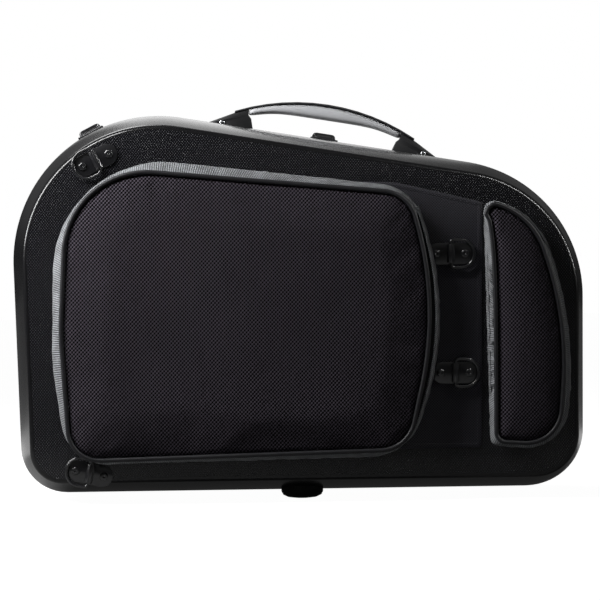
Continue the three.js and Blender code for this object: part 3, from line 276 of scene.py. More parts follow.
@dataclass(frozen=True)
class RibbedTape(Finish):
    """Grosgrain tape: ribs stand across the band, painted lighter on their crests and darker between
    as painted highlight and shade, and random patches of painted wrinkle shade and wear darken it
    here and there.
    """

    pitch: float = 2.3 * MM
    rib_light_share: float = 0.3
    shade: float = -0.12
    shaded_and_lit_tones: Pair = (0.55, 1.35)

    def dress(self, tree, place) -> tuple[dict[str, Socket], Socket]:
        """Returns the colour with painted rib highlight and shade and painted wrinkle shade and
        wear, and the height of ribs that follow the band's own map.
        """
        turn = computed(tree, "MULTIPLY", axes(tree, place["UV"])["X"], tau / self.pitch)
        ribs = computed(tree, "SINE", turn)
        # Random patches painted darker and lighter: painted wrinkle shade, and wear.
        inputs = {"Scale": 60, "Detail": 5, "Roughness": 0.6, "Vector": place["Object"]}
        wrinkle_shade_and_wear = add_node(tree, "ShaderNodeTexNoise", inputs).outputs["Fac"]
        # Each rib's crest is painted lighter and its groove darker: painted highlight and shade.
        blend = computed(tree, "MULTIPLY_ADD", ribs, self.rib_light_share, self.shade)
        share = computed(tree, "ADD", blend, wrinkle_shade_and_wear, clamp=True)
        return {"Base Color": mixed(tree, share, *(self.tone(t) for t in self.shaded_and_lit_tones))}, ribs


# Vacuum formed ABS with a fine scale texture on its faces: satin black, crisp on the crease; its
# dimples are painted lighter than the face, a painted highlight for the glints the texture catches.
SHELL = Lattice(
    "moulded_abs", "0f0f11", 0.26, specular=0.3, coat=0.4, coat_roughness=0.1, relief=0.33 * MM,
    pitch_x=2.7 * MM, pitch_z=3.4 * MM, hole_and_glint="3d3d43", threshold=(0.2, 0.7),
    flatness=(0.985, 0.999),
)
# Polyester spacer mesh: matt warm black, with rows of open holes that rise to the right.
MESH = Lattice(
    "spacer_mesh", "58525c", 0.85, specular=0.05, sheen=0.02, relief=0.9 * MM,
    pitch_x=3.7 * MM, pitch_z=4.0 * MM, lean=0.54, hole_and_glint="0a080a", threshold=(-0.35, 0.25),
)
# Polyester grosgrain: silvery tape whose ribs catch the light one by one, each with a painted
# highlight on its crest and painted shade between.
TAPE = RibbedTape("silver_grosgrain", "8a8c8f", 0.5, specular=0.3, sheen=0.25, relief=0.25 * MM)
# Vinyl covered cord: smooth dark grey with a long soft highlight.
PIPING = Finish("vinyl_piping", "222225", 0.42, specular=0.35, grain=0.5 * MM, relief=0.01 * MM)
# Woven nylon: near black with a faint sheen along its threads.
PANEL = Lattice(
    "woven_nylon", "424148", 0.6, specular=0.2, sheen=0.06, relief=0.15 * MM,
    pitch_x=2.8 * MM, pitch_z=2.8 * MM, hole_and_glint="1a191d", threshold=(-0.2, 0.6),
)
# Black enamel on steel: semi-gloss, slightly orange-peeled.
ENAMEL = Finish(
    "black_enamel", "19191c", 0.3, coat=1.0, coat_roughness=0.08, grain=1.2 * MM, relief=0.004 * MM
)
# Black nickel over steel: dark, and glossy where it faces the light.
LATCH = Finish(
    "black_nickel", "222225", 0.32, coat=0.35, coat_roughness=0.2, grain=0.8 * MM, relief=0.01 * MM
)
# Nickel plated steel: bright, with fine rolling marks.
NICKEL = Finish("nickel_plate", "a9abad", 0.24, metallic=1.0, grain=0.4 * MM, relief=0.004 * MM)
ALUMINIUM = Finish(
    "anodised_aluminium", "8b8d90", 0.38, metallic=1.0, grain=0.3 * MM, relief=0.005 * MM
)
RUBBER = Finish("moulded_rubber", "17171a", 0.7, grain=0.5 * MM, relief=0.03 * MM)
PLUSH = Finish(
    "plush", "26262c", 0.95, sheen=0.5, grain=0.9 * MM, relief=0.35 * MM, unevenness=0.25
)
CAP = Finish("moulded_nylon", "161618", 0.45, grain=0.4 * MM, relief=0.02 * MM)
GRIP = Finish(
    "satin_lacquer", "d2d3d6", 0.36, grain=0.4 * MM, relief=0.008 * MM, unevenness=0.04
)
# Cotton twill: the dull black cloth that fills the cushion's side behind the tape.
TWILL = Finish("black_twill", "101012", 0.85, specular=0.2, grain=0.7 * MM, relief=0.08 * MM)
STRAP = Finish("pressed_vinyl", "2b2b2e", 0.55, grain=0.8 * MM, relief=0.05 * MM)


# --- outlines


@dataclass(frozen=True)
class Station:
    """A point of an outline, with its outward normal, in the plane of the case's face."""

    x: float
    z: float
    nx: float
    nz: float

    def moved(self, distance: float) -> "Station":
        """Moves the point inward."""
        return Station(self.x - self.nx * distance, self.z - self.nz * distance, self.nx, self.nz)

    def at(self, depth: float, side: int = -1) -> Vector:
        """Gives the point in space at a depth from the seam plane."""
        return Vector((self.x, SEAM_Y + side * depth, self.z))

    def toward(self, other: "Station", share: float) -> "Station":
        """Gives the point at a share of the way to another, with this one's normal."""
        x, z = self.x + (other.x - self.x) * share, self.z + (other.z - self.z) * share
        return Station(x, z, self.nx, self.nz)

    def apart(self, x: float, z: float) -> float:
        """Gives the distance to a place."""
        return hypot(self.x - x, self.z - z)


@dataclass(frozen=True)
class Outline:
    """Convex outline with rounded corners: places as shares of the case's length and height."""

    shares: Pairs
    radii: tuple[float, ...]
    bow: float = 0.0

    def corner(self, i: int) -> Stations:
        """Gives the fine points of one rounded corner."""
        spots = [Vector((x * CASE_LENGTH, FOOT_HEIGHT + z * BODY_HEIGHT)) for x, z in self.shares]
        p, before, after = spots[i], spots[i - 1], spots[(i + 1) % len(spots)]
        radius = self.radii[i] * MM
        u, v = (before - p).normalized(), (after - p).normalized()
        half = acos(max(-1.0, min(1.0, u.dot(v)))) / 2
        centre = p + (u + v).normalized() * radius / sin(half)
        run = radius / tan(half)
        start = atan2(*reversed(p + u * run - centre))
        end = atan2(*reversed(p + v * run - centre))
        turn = (end - start + pi) % tau - pi
        angles = [start + turn * k / ARC_STEPS for k in range(ARC_STEPS + 1)]
        normals = [(cos(a), sin(a)) for a in angles]
        return [Station(centre.x + c * radius, centre.y + s * radius, c, s) for c, s in normals]

    def bowed(self, dense: Stations) -> Stations:
        """Draws the left side in, most of all near its upper end."""
        low, high = dense[ARC_STEPS], dense[ARC_STEPS + 1]
        fine = []
        for k in range(SIDE_STEPS + 1):
            share = k / SIDE_STEPS
            pull = self.bow * sin(pi * sqrt(1 - share))
            fine.append(low.toward(high, share).moved(pull))
        return [*dense[:ARC_STEPS], *fine, *dense[ARC_STEPS + 2 :]]

    def points(self, count: int) -> Stations:
        """Spaces points evenly round the outline.

        Args:
            count: how many points.

        Returns:
            The points, each with the normal of its place.
        """
        dense = [s for i in range(len(self.shares)) for s in self.corner(i)]
        dense.append(dense[0])
        if self.bow:
            dense = self.bowed(dense)
        runs = [0.0]
        for a, b in zip(dense, dense[1:]):
            runs.append(runs[-1] + b.apart(a.x, a.z))
        found, k = [], 0
        for i in range(count):
            goal = runs[-1] * i / count
            while runs[k + 1] < goal:
                k += 1
            a, b = dense[k], dense[k + 1]
            t = (goal - runs[k]) / max(runs[k + 1] - runs[k], TINY)
            turned = Vector((a.nx + (b.nx - a.nx) * t, a.nz + (b.nz - a.nz) * t)).normalized()
            spot = a.toward(b, t)
            found.append(Station(spot.x, spot.z, turned.x, turned.y))
        return found


CASE = Outline(
    ((-0.4878, 0), (-0.5091, 1.0714), (0.5021, 0.8184), (0.4959, 0)), (48.7, 153, 143, 61)
)


def blended(a: Stations, b: Stations, share: float) -> Stations:
    """Gives the outline that lies between two others of equally many points."""
    return [p.toward(q, share) for p, q in zip(a, b)]


# --- modelling


class Ends(Enum):
    """How a lofted skin is closed."""

    CAPPED = "a face on each end"
    WRAPPED = "the last ring joins the first"


def placed(name: str, data: bpy.types.ID) -> Object:
    """Puts new data in the scene as an object."""
    obj = bpy.data.objects.new(name, data)
    bpy.context.scene.collection.objects.link(obj)
    return obj


def alone(obj: Object) -> None:
    """Makes an object the only selected and active one."""
    bpy.ops.object.select_all(action="DESELECT")
    obj.select_set(True)
    bpy.context.view_layer.objects.active = obj


def applied(obj: Object, kind: str, **settings) -> None:
    """Adds a modifier with its settings and applies it."""
    alone(obj)
    modifier = obj.modifiers.new(kind.title(), kind)
    for key, value in settings.items():
        setattr(modifier, key, value)
    bpy.ops.object.modifier_apply(modifier=modifier.name)


def bevelled(obj: Object, width: float, angle: float) -> None:
    """Breaks the edges that are sharper than an angle in degrees."""
    limit = radians(angle)
    applied(obj, "BEVEL", width=width, segments=2, limit_method="ANGLE", angle_limit=limit)


def lofted(name: str, rings: Rings, ends: Ends) -> Object:
    """Extrudes a ring of edges from one outline to the next and closes the skin.

    Args:
        name: the piece's name.
        rings: outlines of equally many points.
        ends: how the skin is closed.

    Returns:
        The new object, at the origin, with a map in metres along and across its rings.
    """
    bpy.ops.mesh.primitive_circle_add(vertices=len(rings[0]), radius=1)
    obj = bpy.context.object
    obj.name = name
    bpy.ops.object.mode_set(mode="EDIT")
    bpy.ops.mesh.select_mode(type="EDGE")
    bpy.ops.mesh.select_all(action="SELECT")
    edit = bmesh.from_edit_mesh(obj.data)
    layer = edit.verts.layers.int.new("station")
    edit.verts.layers.int.new("level")
    for vertex, point in zip(list(edit.verts), rings[0]):
        vertex[layer] = vertex.index
        vertex.co = point
    for i, ring in enumerate(rings[1:], 1):
        bpy.ops.mesh.extrude_edges_move()
        edit = bmesh.from_edit_mesh(obj.data)
        layer = edit.verts.layers.int["station"]
        level = edit.verts.layers.int["level"]
        for vertex in (v for v in edit.verts if v.select):
            vertex.co = ring[vertex[layer]]
            vertex[level] = i
    last = len(rings) - 1
    for group in ([0, last],) if ends is Ends.WRAPPED else ([0], [last]):
        edit = bmesh.from_edit_mesh(obj.data)
        level = edit.verts.layers.int["level"]
        for edge in edit.edges:
            a, b = (v[level] for v in edge.verts)
            edge.select = a == b and a in group
        edit.select_flush(True)
        if ends is Ends.WRAPPED:
            bpy.ops.mesh.bridge_edge_loops()
        else:
            bpy.ops.mesh.edge_face_add()
    bpy.ops.mesh.select_all(action="SELECT")
    bpy.ops.mesh.normals_make_consistent(inside=False)
    edit = bmesh.from_edit_mesh(obj.data)
    mapped(edit, rings)
    bmesh.update_edit_mesh(obj.data)
    bpy.ops.object.mode_set(mode="OBJECT")
    return obj


def mapped(edit: bmesh.types.BMesh, rings: Rings) -> None:
    """Lays a map in metres on a lofted skin: along its rings, and across them."""
    layer, level = edit.verts.layers.int["station"], edit.verts.layers.int["level"]
    spread = edit.loops.layers.uv.verify()
    widest = max(rings, key=lambda r: sum((b - a).length for a, b in zip(r, [*r[1:], r[0]])))
    along = [0.0]
    for a, b in zip(widest, [*widest[1:], widest[0]]):
        along.append(along[-1] + (b - a).length)
    across = [0.0]
    for a, b in zip(rings, rings[1:]):
        across.append(across[-1] + (b[0] - a[0]).length)
    count = len(rings[0])
    for face in edit.faces:
        turns = [v[layer] for v in face.verts]
        crossing = len(turns) == 4 and max(turns) - min(turns) > count / 2
        for loop in face.loops:
            k = loop.vert[layer]
            k = count if crossing and k == 0 else k
            loop[spread].uv = (along[k], across[loop.vert[level]])


def circle(count: int, radius: float) -> list[Pair]:
    """Gives evenly spaced points of a circle."""
    turns = [tau * i / count for i in range(count)]
    return [(radius * cos(a), radius * sin(a)) for a in turns]


def smoothed(obj: Object, angle: float) -> None:
    """Shades an object smooth, but for edges sharper than an angle in degrees."""
    alone(obj)
    bpy.ops.object.shade_smooth_by_angle(angle=radians(angle))


def dressed(obj: Object, finish: Finish, slot: str, body: str, *nodes: str) -> None:
    """Gives a piece its finish and its body, and hides the nodes it stands for."""
    obj.data.materials.clear()
    obj.data.materials.append(finish.material())
    if nodes:
        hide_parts(*nodes)
    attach(obj, body)
    LOG.info("%s rides on %s", obj.name, body)


def refined(node: str, finish: Finish, slot: str, soften: float, levels: int = 0) -> None:
    """Copies a solid of the frame, merges it, breaks its edges and dresses it.

    Args:
        node: the solid's name.
        finish: its finish.
        slot: not used.
        soften: width of the broken edges.
        levels: levels of subdivision, for a soft form.
    """
    obj = placed(f"{node}_finished", NAMES[node].data.copy())
    alone(obj)
    bpy.ops.object.mode_set(mode="EDIT")
    bpy.ops.mesh.select_all(action="SELECT")
    bpy.ops.mesh.remove_doubles(threshold=0.002 * MM)
    if levels:
        bend = radians(60)
        bpy.ops.mesh.tris_convert_to_quads(face_threshold=bend, shape_threshold=bend)
    else:
        bpy.ops.mesh.dissolve_limited(angle_limit=radians(0.5))
    bpy.ops.object.mode_set(mode="OBJECT")
    if soften:
        bevelled(obj, soften, 40)
    if levels:
        applied(obj, "SUBSURF", levels=levels, render_levels=levels)
    smoothed(obj, 40)
    dressed(obj, finish, slot, BODY_OF[node], node)


# --- shells


@dataclass
class Shell:
    """One moulded half: channelled lip, drafted wall that may swell, soft crease and face."""

    name: str
    body: str
    side: int
    crown: float
    count: int = 288
    channel_depth: float = 4 * MM
    channel_half: float = 10 * MM
    lip_gap: float = 1.2 * MM
    crease_radius: float = 6 * MM
    crease_steps: int = 8
    wall_steps: int = 8
    swell: float = 0.0
    face_shares: tuple[float, ...] = (0.9, 0.75, 0.6, 0.45, 0.3, 0.15)
    hinge_places: tuple[float, ...] = (-150 * MM, 0.0, 150 * MM)
    notch_size: Triple = (41.2 * MM, 7.6 * MM, 7.3 * MM)
    notch_height: float = 3.5 * MM

    def wall_inset(self, depth: float, wall: float) -> float:
        """Distance that the wall stands in from the outline at a depth from the seam."""
        return wall / cos(DRAFT) + (depth - RIM_DEPTH) * tan(DRAFT)

    def section(self, wall: float) -> list[Pair]:
        """Pairs of inset and depth from the lip to the face, a wall's thickness inside."""
        mitre = wall * (sqrt(2) - 1)
        radius, depth = self.crease_radius - wall, HALF_DEPTH - wall
        run = radius * tan((pi / 2 - DRAFT) / 2)
        centre = (self.wall_inset(depth, wall) + run, depth - radius)
        sweep, steps = pi / 2 - DRAFT, self.crease_steps
        angles = [DRAFT + sweep * i / steps for i in range(steps + 1)]
        crease = [(centre[0] - radius * cos(a), centre[1] + radius * sin(a)) for a in angles]
        start = (self.wall_inset(RIM_DEPTH + mitre, wall), RIM_DEPTH + mitre)
        shares = [i / self.wall_steps for i in range(1, self.wall_steps)]
        (x, y), (u, v) = start, crease[0]
        wall_run = [
            (x + (u - x) * t - 4 * self.swell * t * (1 - t), y + (v - y) * t) for t in shares
        ]
        return [
            (self.channel_depth + wall, self.lip_gap),
            (self.channel_depth + wall, self.channel_half + mitre),
            start,
            *wall_run,
            *crease,
        ]

    def face(self, inset: float, depth: float, outline: Stations) -> Rings:
        """Rings that carry the face toward its middle, bulging by the crown."""
        edge = [s.moved(inset) for s in outline]
        xs, zs = [s.x for s in edge], [s.z for s in edge]
        middle = Vector(((min(xs) + max(xs)) / 2, (min(zs) + max(zs)) / 2))
        return [
            [
                Vector((
                    middle.x + (s.x - middle.x) * share,
                    SEAM_Y + self.side * (depth + self.crown * (1 - share * share)),
                    middle.y + (s.z - middle.y) * share,
                ))
                for s in edge
            ]
            for share in self.face_shares
        ]

    def build(self) -> None:
        """Builds the half, cuts the hinge notches and dresses it."""
        outline = CASE.points(self.count)
        inner, outer = self.section(WALL), self.section(0.0)
        skin = [*reversed(inner), *outer]
        rings = [
            *reversed(self.face(*inner[-1], outline)),
            *[[s.moved(d).at(y, self.side) for s in outline] for d, y in skin],
            *self.face(*outer[-1], outline),
        ]
        obj = lofted(f"{self.name}_moulded", rings, Ends.CAPPED)
        for x in self.hinge_places:
            self.notch(obj, x)
        smoothed(obj, 24)
        dressed(obj, SHELL, "shell", self.body, self.name)

    def notch(self, obj: Object, x: float) -> None:
        """Cuts room for one hinge's knuckles out of the lip."""
        spot = (x, SEAM_Y, FOOT_HEIGHT + self.notch_height)
        bpy.ops.mesh.primitive_cube_add(size=1, location=spot)
        tool = bpy.context.object
        tool.scale = self.notch_size
        bpy.ops.object.transform_apply(location=False, rotation=False, scale=True)
        applied(obj, "BOOLEAN", object=tool, operation="DIFFERENCE", solver="EXACT")
        bpy.data.objects.remove(tool)


# --- padding


@dataclass(frozen=True)
class Stuffing:
    """Cloth simulation that fills a pad from inside while its edge stays sewn down."""

    voxel: float = 5 * MM
    pressure: float = 4.0
    frames: int = 20
    cap: float = 4 * MM

    def fill(self, obj: Object, sewn: Callable[[Vector], float]) -> None:
        """Runs the simulation, caps how far each point moves and keeps the result.

        Args:
            obj: the closed pad.
            sewn: gives how firmly a point is held, from 0 to 1.
        """
        obj.data.remesh_voxel_size = self.voxel
        alone(obj)
        bpy.ops.object.voxel_remesh()
        self.simulate(obj, sewn)
        applied(obj, "SUBSURF", levels=1, render_levels=1)
        bpy.ops.object.shade_smooth()

    def simulate(self, obj: Object, sewn: Callable[[Vector], float]) -> None:
        """Steps the cloth and writes the capped result to the mesh."""
        group = obj.vertex_groups.new(name="sewn")
        rest = [v.co.copy() for v in obj.data.vertices]
        for i, point in enumerate(rest):
            group.add([i], sewn(point), "REPLACE")
        cloth = obj.modifiers.new("Filling", "CLOTH")
        cloth.settings.vertex_group_mass = group.name
        cloth.settings.use_pressure = True
        cloth.settings.uniform_pressure_force = self.pressure
        cloth.settings.effector_weights.gravity = 0
        cloth.settings.quality = 5
        cloth.point_cache.frame_end = self.frames
        scene = bpy.context.scene
        for step in range(1, self.frames + 1):
            scene.frame_set(step)
        shown = obj.evaluated_get(bpy.context.evaluated_depsgraph_get())
        ended = [v.co.copy() for v in shown.data.vertices]
        obj.modifiers.remove(cloth)
        obj.vertex_groups.clear()
        scene.frame_set(1)
        for vertex, start, end in zip(obj.data.vertices, rest, ended):
            step = end - start
            vertex.co = start + step * min(1.0, self.cap / max(step.length, TINY))


@dataclass
class Cushion:
    """A boxed cushion: a ribbed band, a piped seam and a filled top of spacer mesh."""

    name: str
    outer: Outline
    seam: Outline
    base: float
    count: int
    creases: float
    seed: int
    rise: float = 25 * MM
    belly: float = 13 * MM
    tuck: float = 6.3 * MM
    crown: float = 4.5 * MM
    piping: float = 2.3 * MM
    tape: float = 8.5 * MM
    rim_gap: float = 2.6 * MM
    cloth: float = 1 * MM
    sag: float = 1.2 * MM
    lap: float = 0.7 * MM
    join_reach: float = 4 * MM
    crumple_fade: float = 12 * MM
    fold_lean: float = 2.2 * MM
    fold_sink: float = 4.0 * MM
    groove: float = 3.6 * MM
    joins: Pairs = ()
    crumple: Pair | None = None
    stuffing: Stuffing = field(default_factory=Stuffing)

    def build(self) -> None:
        """Builds the band, the cloth behind it, the piping and the top."""
        self.band()
        self.gusset()
        self.cord()
        self.top()

    def wobble(self) -> list[float]:
        """Uneven stand of the band round its length, as sewn tape has, from -1 to 1."""
        rng = random.Random(self.seed)
        waves = [(rng.randint(3, 60), rng.uniform(0, tau), rng.uniform(0.3, 1)) for _ in range(16)]
        total = sum(w for _, _, w in waves) ** 0.5
        return [
            sum(w * sin(n * tau * i / self.count + p) for n, p, w in waves) / total / 1.6
            for i in range(self.count)
        ]

    def joined(self, station: Station) -> float:
        """Thickness that the lapped ends of the tape add at a place."""
        near = any(station.apart(x, z) < self.join_reach for x, z in self.joins)
        return self.lap if near else 0.0

    def rumpled(self, station: Station) -> float:
        """How far the slack left side is crumpled at a place, from 0 to 1."""
        if not self.crumple or station.nx > -0.9:
            return 0.0
        low, high = self.crumple
        fade = self.crumple_fade
        return max(0.0, min(1.0, (station.z - low) / fade, (high - station.z) / fade))

    def folds(self, stations: Stations) -> list[Pair]:
        """Sharp folds along the crumpled side: how far each point leans in and sinks."""
        rng = random.Random(self.seed + 1)
        found, lean, sink, left = [], 0.0, 0.0, 0
        for station in stations:
            if left <= 0:
                left, lean, sink = rng.randint(2, 8), rng.uniform(-1, 1), rng.uniform(-0.6, 1)
            left -= 1
            weight = self.rumpled(station)
            found.append((lean * self.fold_lean * weight, sink * self.fold_sink * weight))
        return found

    def edges(self) -> tuple[Stations, Stations]:
        """Gives the outer points, and the seam's points turned round to lie nearest to them."""
        outer, seam = self.outer.points(self.count), self.seam.points(self.count)
        turns = range(self.count)
        first = min(turns, key=lambda k: seam[k].apart(outer[0].x, outer[0].z))
        return outer, [seam[(first + k) % self.count] for k in turns]

    def tape_end(self, outer: Stations, seam: Stations) -> Stations:
        """Where the tape ends: by the piping, but short of it on the right."""
        ends = []
        for a, b in zip(outer, [s.moved(-self.rim_gap) for s in seam]):
            width = b.apart(a.x, a.z)
            weight = max(0.0, min(1.0, (a.nx - 0.3) / 0.4))
            share = 1 - weight * max(0.0, 1 - self.tape / width)
            spot = a.toward(b, share)
            ends.append(Station(spot.x, spot.z, b.nx, b.nz))
        return ends

    def gusset(self) -> None:
        """Builds the black cloth between the tape and the piping, which sags a little."""
        outer, seam = self.edges()
        end = self.tape_end(outer, seam)
        near, far = [s.moved(0.3 * MM) for s in end], [s.moved(0.2 * MM) for s in seam]
        centre, low = blended(near, far, 0.5), self.rise - 1.4 * MM
        profile = [(near, low), (centre, low - self.sag), (far, low), (far, low - self.cloth)]
        profile += [(centre, low - self.sag - self.cloth), (near, low - self.cloth)]
        rings = [[s.at(HALF_DEPTH + h) for s in stations] for stations, h in profile]
        obj = lofted(f"{self.name}_gusset", rings, Ends.WRAPPED)
        smoothed(obj, 50)
        dressed(obj, TWILL, "cushion_boxing", "back")

    def band(self) -> None:
        """Builds the ribbed band from the foot of the cushion to its seam."""
        outer, seam = self.edges()
        lift = self.wobble()
        tucked = [s.moved(self.tuck) for s in outer]
        rim = self.tape_end(outer, seam)
        inner = [s.moved(0.9 * MM) for s in rim]
        shoulder = [(0.12, 0.38, 1.0), (0.26, 0.58, 0.9), (0.34, 0.66, 0.9), (0.5, 0.8, 0.8)]
        shoulder.append((0.76, 0.95, 0.5))
        profile = [
            (tucked, self.base, 0.0),
            (tucked, self.base + self.belly / 3, 0.3),
            (blended(tucked, outer, 0.6), self.belly * 0.52, 0.8),
            (blended(tucked, outer, 0.92), self.belly * 0.76, 1.0),
            (outer, self.belly, 1.0),
            *[
                (blended(outer, rim, t), self.belly + up * (self.rise - self.belly), stand)
                for t, up, stand in shoulder
            ],
            (rim, self.rise - 0.4 * MM, 0.0),
            (inner, self.rise - 2.6 * MM, 0.0),
            ([s.moved(self.tuck + 4 * MM) for s in outer], self.belly, 0.0),
            ([s.moved(self.tuck + 2 * MM) for s in outer], self.base, 0.0),
        ]
        folds, slack = self.folds(outer), [self.rumpled(s) for s in outer]
        lap = [self.joined(s) for s in outer]
        rings = []
        for i, (stations, h, share) in enumerate(profile):
            gathered, groove = i in (8, 9, 10), self.groove if i == 7 else 0.0
            ring = []
            for k, s in enumerate(stations):
                lean, sink = folds[k] if gathered else (0.0, 0.0)
                inset = lean - lift[k] * share * self.creases - (lap[k] if share else 0.0)
                ring.append(s.moved(inset).at(HALF_DEPTH + h - groove * slack[k] - sink))
            rings.append(ring)
        obj = lofted(f"{self.name}_band", rings, Ends.WRAPPED)
        applied(obj, "SUBSURF", levels=1, render_levels=1)
        smoothed(obj, 60)
        dressed(obj, TAPE, "cushion_boxing", "back")

    def cord(self) -> None:
        """Builds the piping as a tube along the seam."""
        seam = [s.moved(-1.9 * MM) for s in self.seam.points(self.count)]
        height = HALF_DEPTH + self.rise
        rings = [[s.moved(-u).at(height + v) for s in seam] for u, v in circle(12, self.piping)]
        obj = lofted(f"{self.name}_piping", rings, Ends.WRAPPED)
        smoothed(obj, 60)
        dressed(obj, PIPING, "piping", "back")

    def top(self) -> None:
        """Builds the top as a filled pad that rolls over to the piped seam."""
        seam = self.seam.points(240)
        middle = Vector((sum(s.x for s in seam), sum(s.z for s in seam))) / len(seam)

        def at(inset: float, height: float) -> list[Vector]:
            """Ring at an inset from the seam and a height above the face."""
            return [s.moved(inset).at(HALF_DEPTH + height) for s in seam]

        def toward(inset: float, share: float, height: float) -> list[Vector]:
            """Ring drawn toward the middle by a share."""
            spots = at(inset, height)
            for v in spots:
                v.x = middle.x + (v.x - middle.x) * share
                v.z = middle.y + (v.z - middle.y) * share
            return spots

        top = self.rise + self.crown
        rings = [
            at(2.5 * MM, self.belly),
            at(0.3 * MM, self.rise - 4 * MM),
            at(0.5 * MM, self.rise - 1.2 * MM),
            at(2.0 * MM, self.rise + self.crown * 0.2),
            at(5.5 * MM, self.rise + self.crown * 0.5),
            at(10.0 * MM, self.rise + self.crown * 0.68),
            toward(10.0 * MM, 0.86, self.rise + self.crown * 0.84),
            toward(10.0 * MM, 0.6, top - self.crown * 0.06),
            toward(10.0 * MM, 0.3, top),
        ]
        obj = lofted(f"{self.name}_top", rings, Ends.CAPPED)
        front = SEAM_Y - HALF_DEPTH - self.rise

        def sewn(point: Vector) -> float:
            """Holds the pad's edge and foot."""
            return 1.0 if point.y > front + 0.5 * MM else 0.0

        self.stuffing.fill(obj, sewn)
        dressed(obj, MESH, "cushion_mesh", "back", self.name)


LARGE = Cushion(
    name="large_cushion",
    outer=Outline(
        (
            (-0.3994, 0.0876), (-0.4238, 0.3435), (-0.4179, 0.8975),
            (0.1851, 0.7927), (0.2664, 0.4873), (0.1778, 0.0997),
        ),
        (47, 261, 113, 51.6, 295, 57),
    ),
    seam=Outline(
        (
            (-0.3913, 0.1041), (-0.4044, 0.4266), (-0.3903, 0.8496),
            (0.1781, 0.7706), (0.2284, 0.4942), (0.1723, 0.1235),
        ),
        (30, 274, 82, 34, 344, 34),
    ),
    base=1.8 * MM,
    count=720,
    creases=0.5 * MM,
    seed=4,
    joins=((-76 * MM, 335 * MM), (-36 * MM, 334 * MM), (-246 * MM, 207 * MM), (142 * MM, 203 * MM)),
)
SMALL = Cushion(
    name="small_cushion",
    outer=Outline(
        ((0.3156, 0.1233), (0.3084, 0.7635), (0.3956, 0.7299), (0.4656, 0.4547), (0.4433, 0.1066)),
        (10, 11, 80, 362, 44),
    ),
    seam=Outline(
        ((0.3278, 0.14), (0.3145, 0.7451), (0.3853, 0.7172), (0.4453, 0.4489), (0.4269, 0.1299)),
        (8, 8, 70, 340, 34),
        bow=5.5 * MM,
    ),
    base=0.3 * MM,
    count=480,
    creases=0.5 * MM,
    seed=9,
    joins=((273 * MM, 175 * MM), (275 * MM, 113 * MM)),
    crumple=(95 * MM, 262 * MM),
)


@dataclass
class BackPanel:
    """Woven panel on the face between and under the cushions, hemmed at its free edges."""

    outline: Outline = Outline(
        (
            (-0.3789, 0.1172), (-0.4039, 0.3527), (-0.3973, 0.8286),
            (0.1611, 0.8058), (0.3094, 0.7527), (0.3033, 0.1172),
        ),
        (30, 250, 100, 60, 5, 5),
    )
    low: float = 0.3 * MM
    thickness: float = 1.2 * MM
    hem: float = 4.5 * MM

    def build(self) -> None:
        """Builds the panel with its hem, which stands slightly proud of the field."""
        edge = self.outline.points(480)
        top = self.low + self.thickness
        profile = [
            (0.3 * MM, self.low), (0.0, self.low + 0.4 * MM),
            (0.0, top - 0.3 * MM), (0.4 * MM, top),
        ]
        stitch = ((-1.4, 0.0), (-1.0, 0.35), (-0.6, 0.0), (0.0, 0.1), (0.4, 0.45))
        profile += [(self.hem + d * MM, top - drop * MM) for d, drop in stitch]
        rings = [[s.moved(d).at(HALF_DEPTH + h) for s in edge] for d, h in profile]
        obj = lofted("fabric_panel_sewn", rings, Ends.CAPPED)
        smoothed(obj, 40)
        dressed(obj, PANEL, "panel", "back", "fabric_panel")


# --- fittings


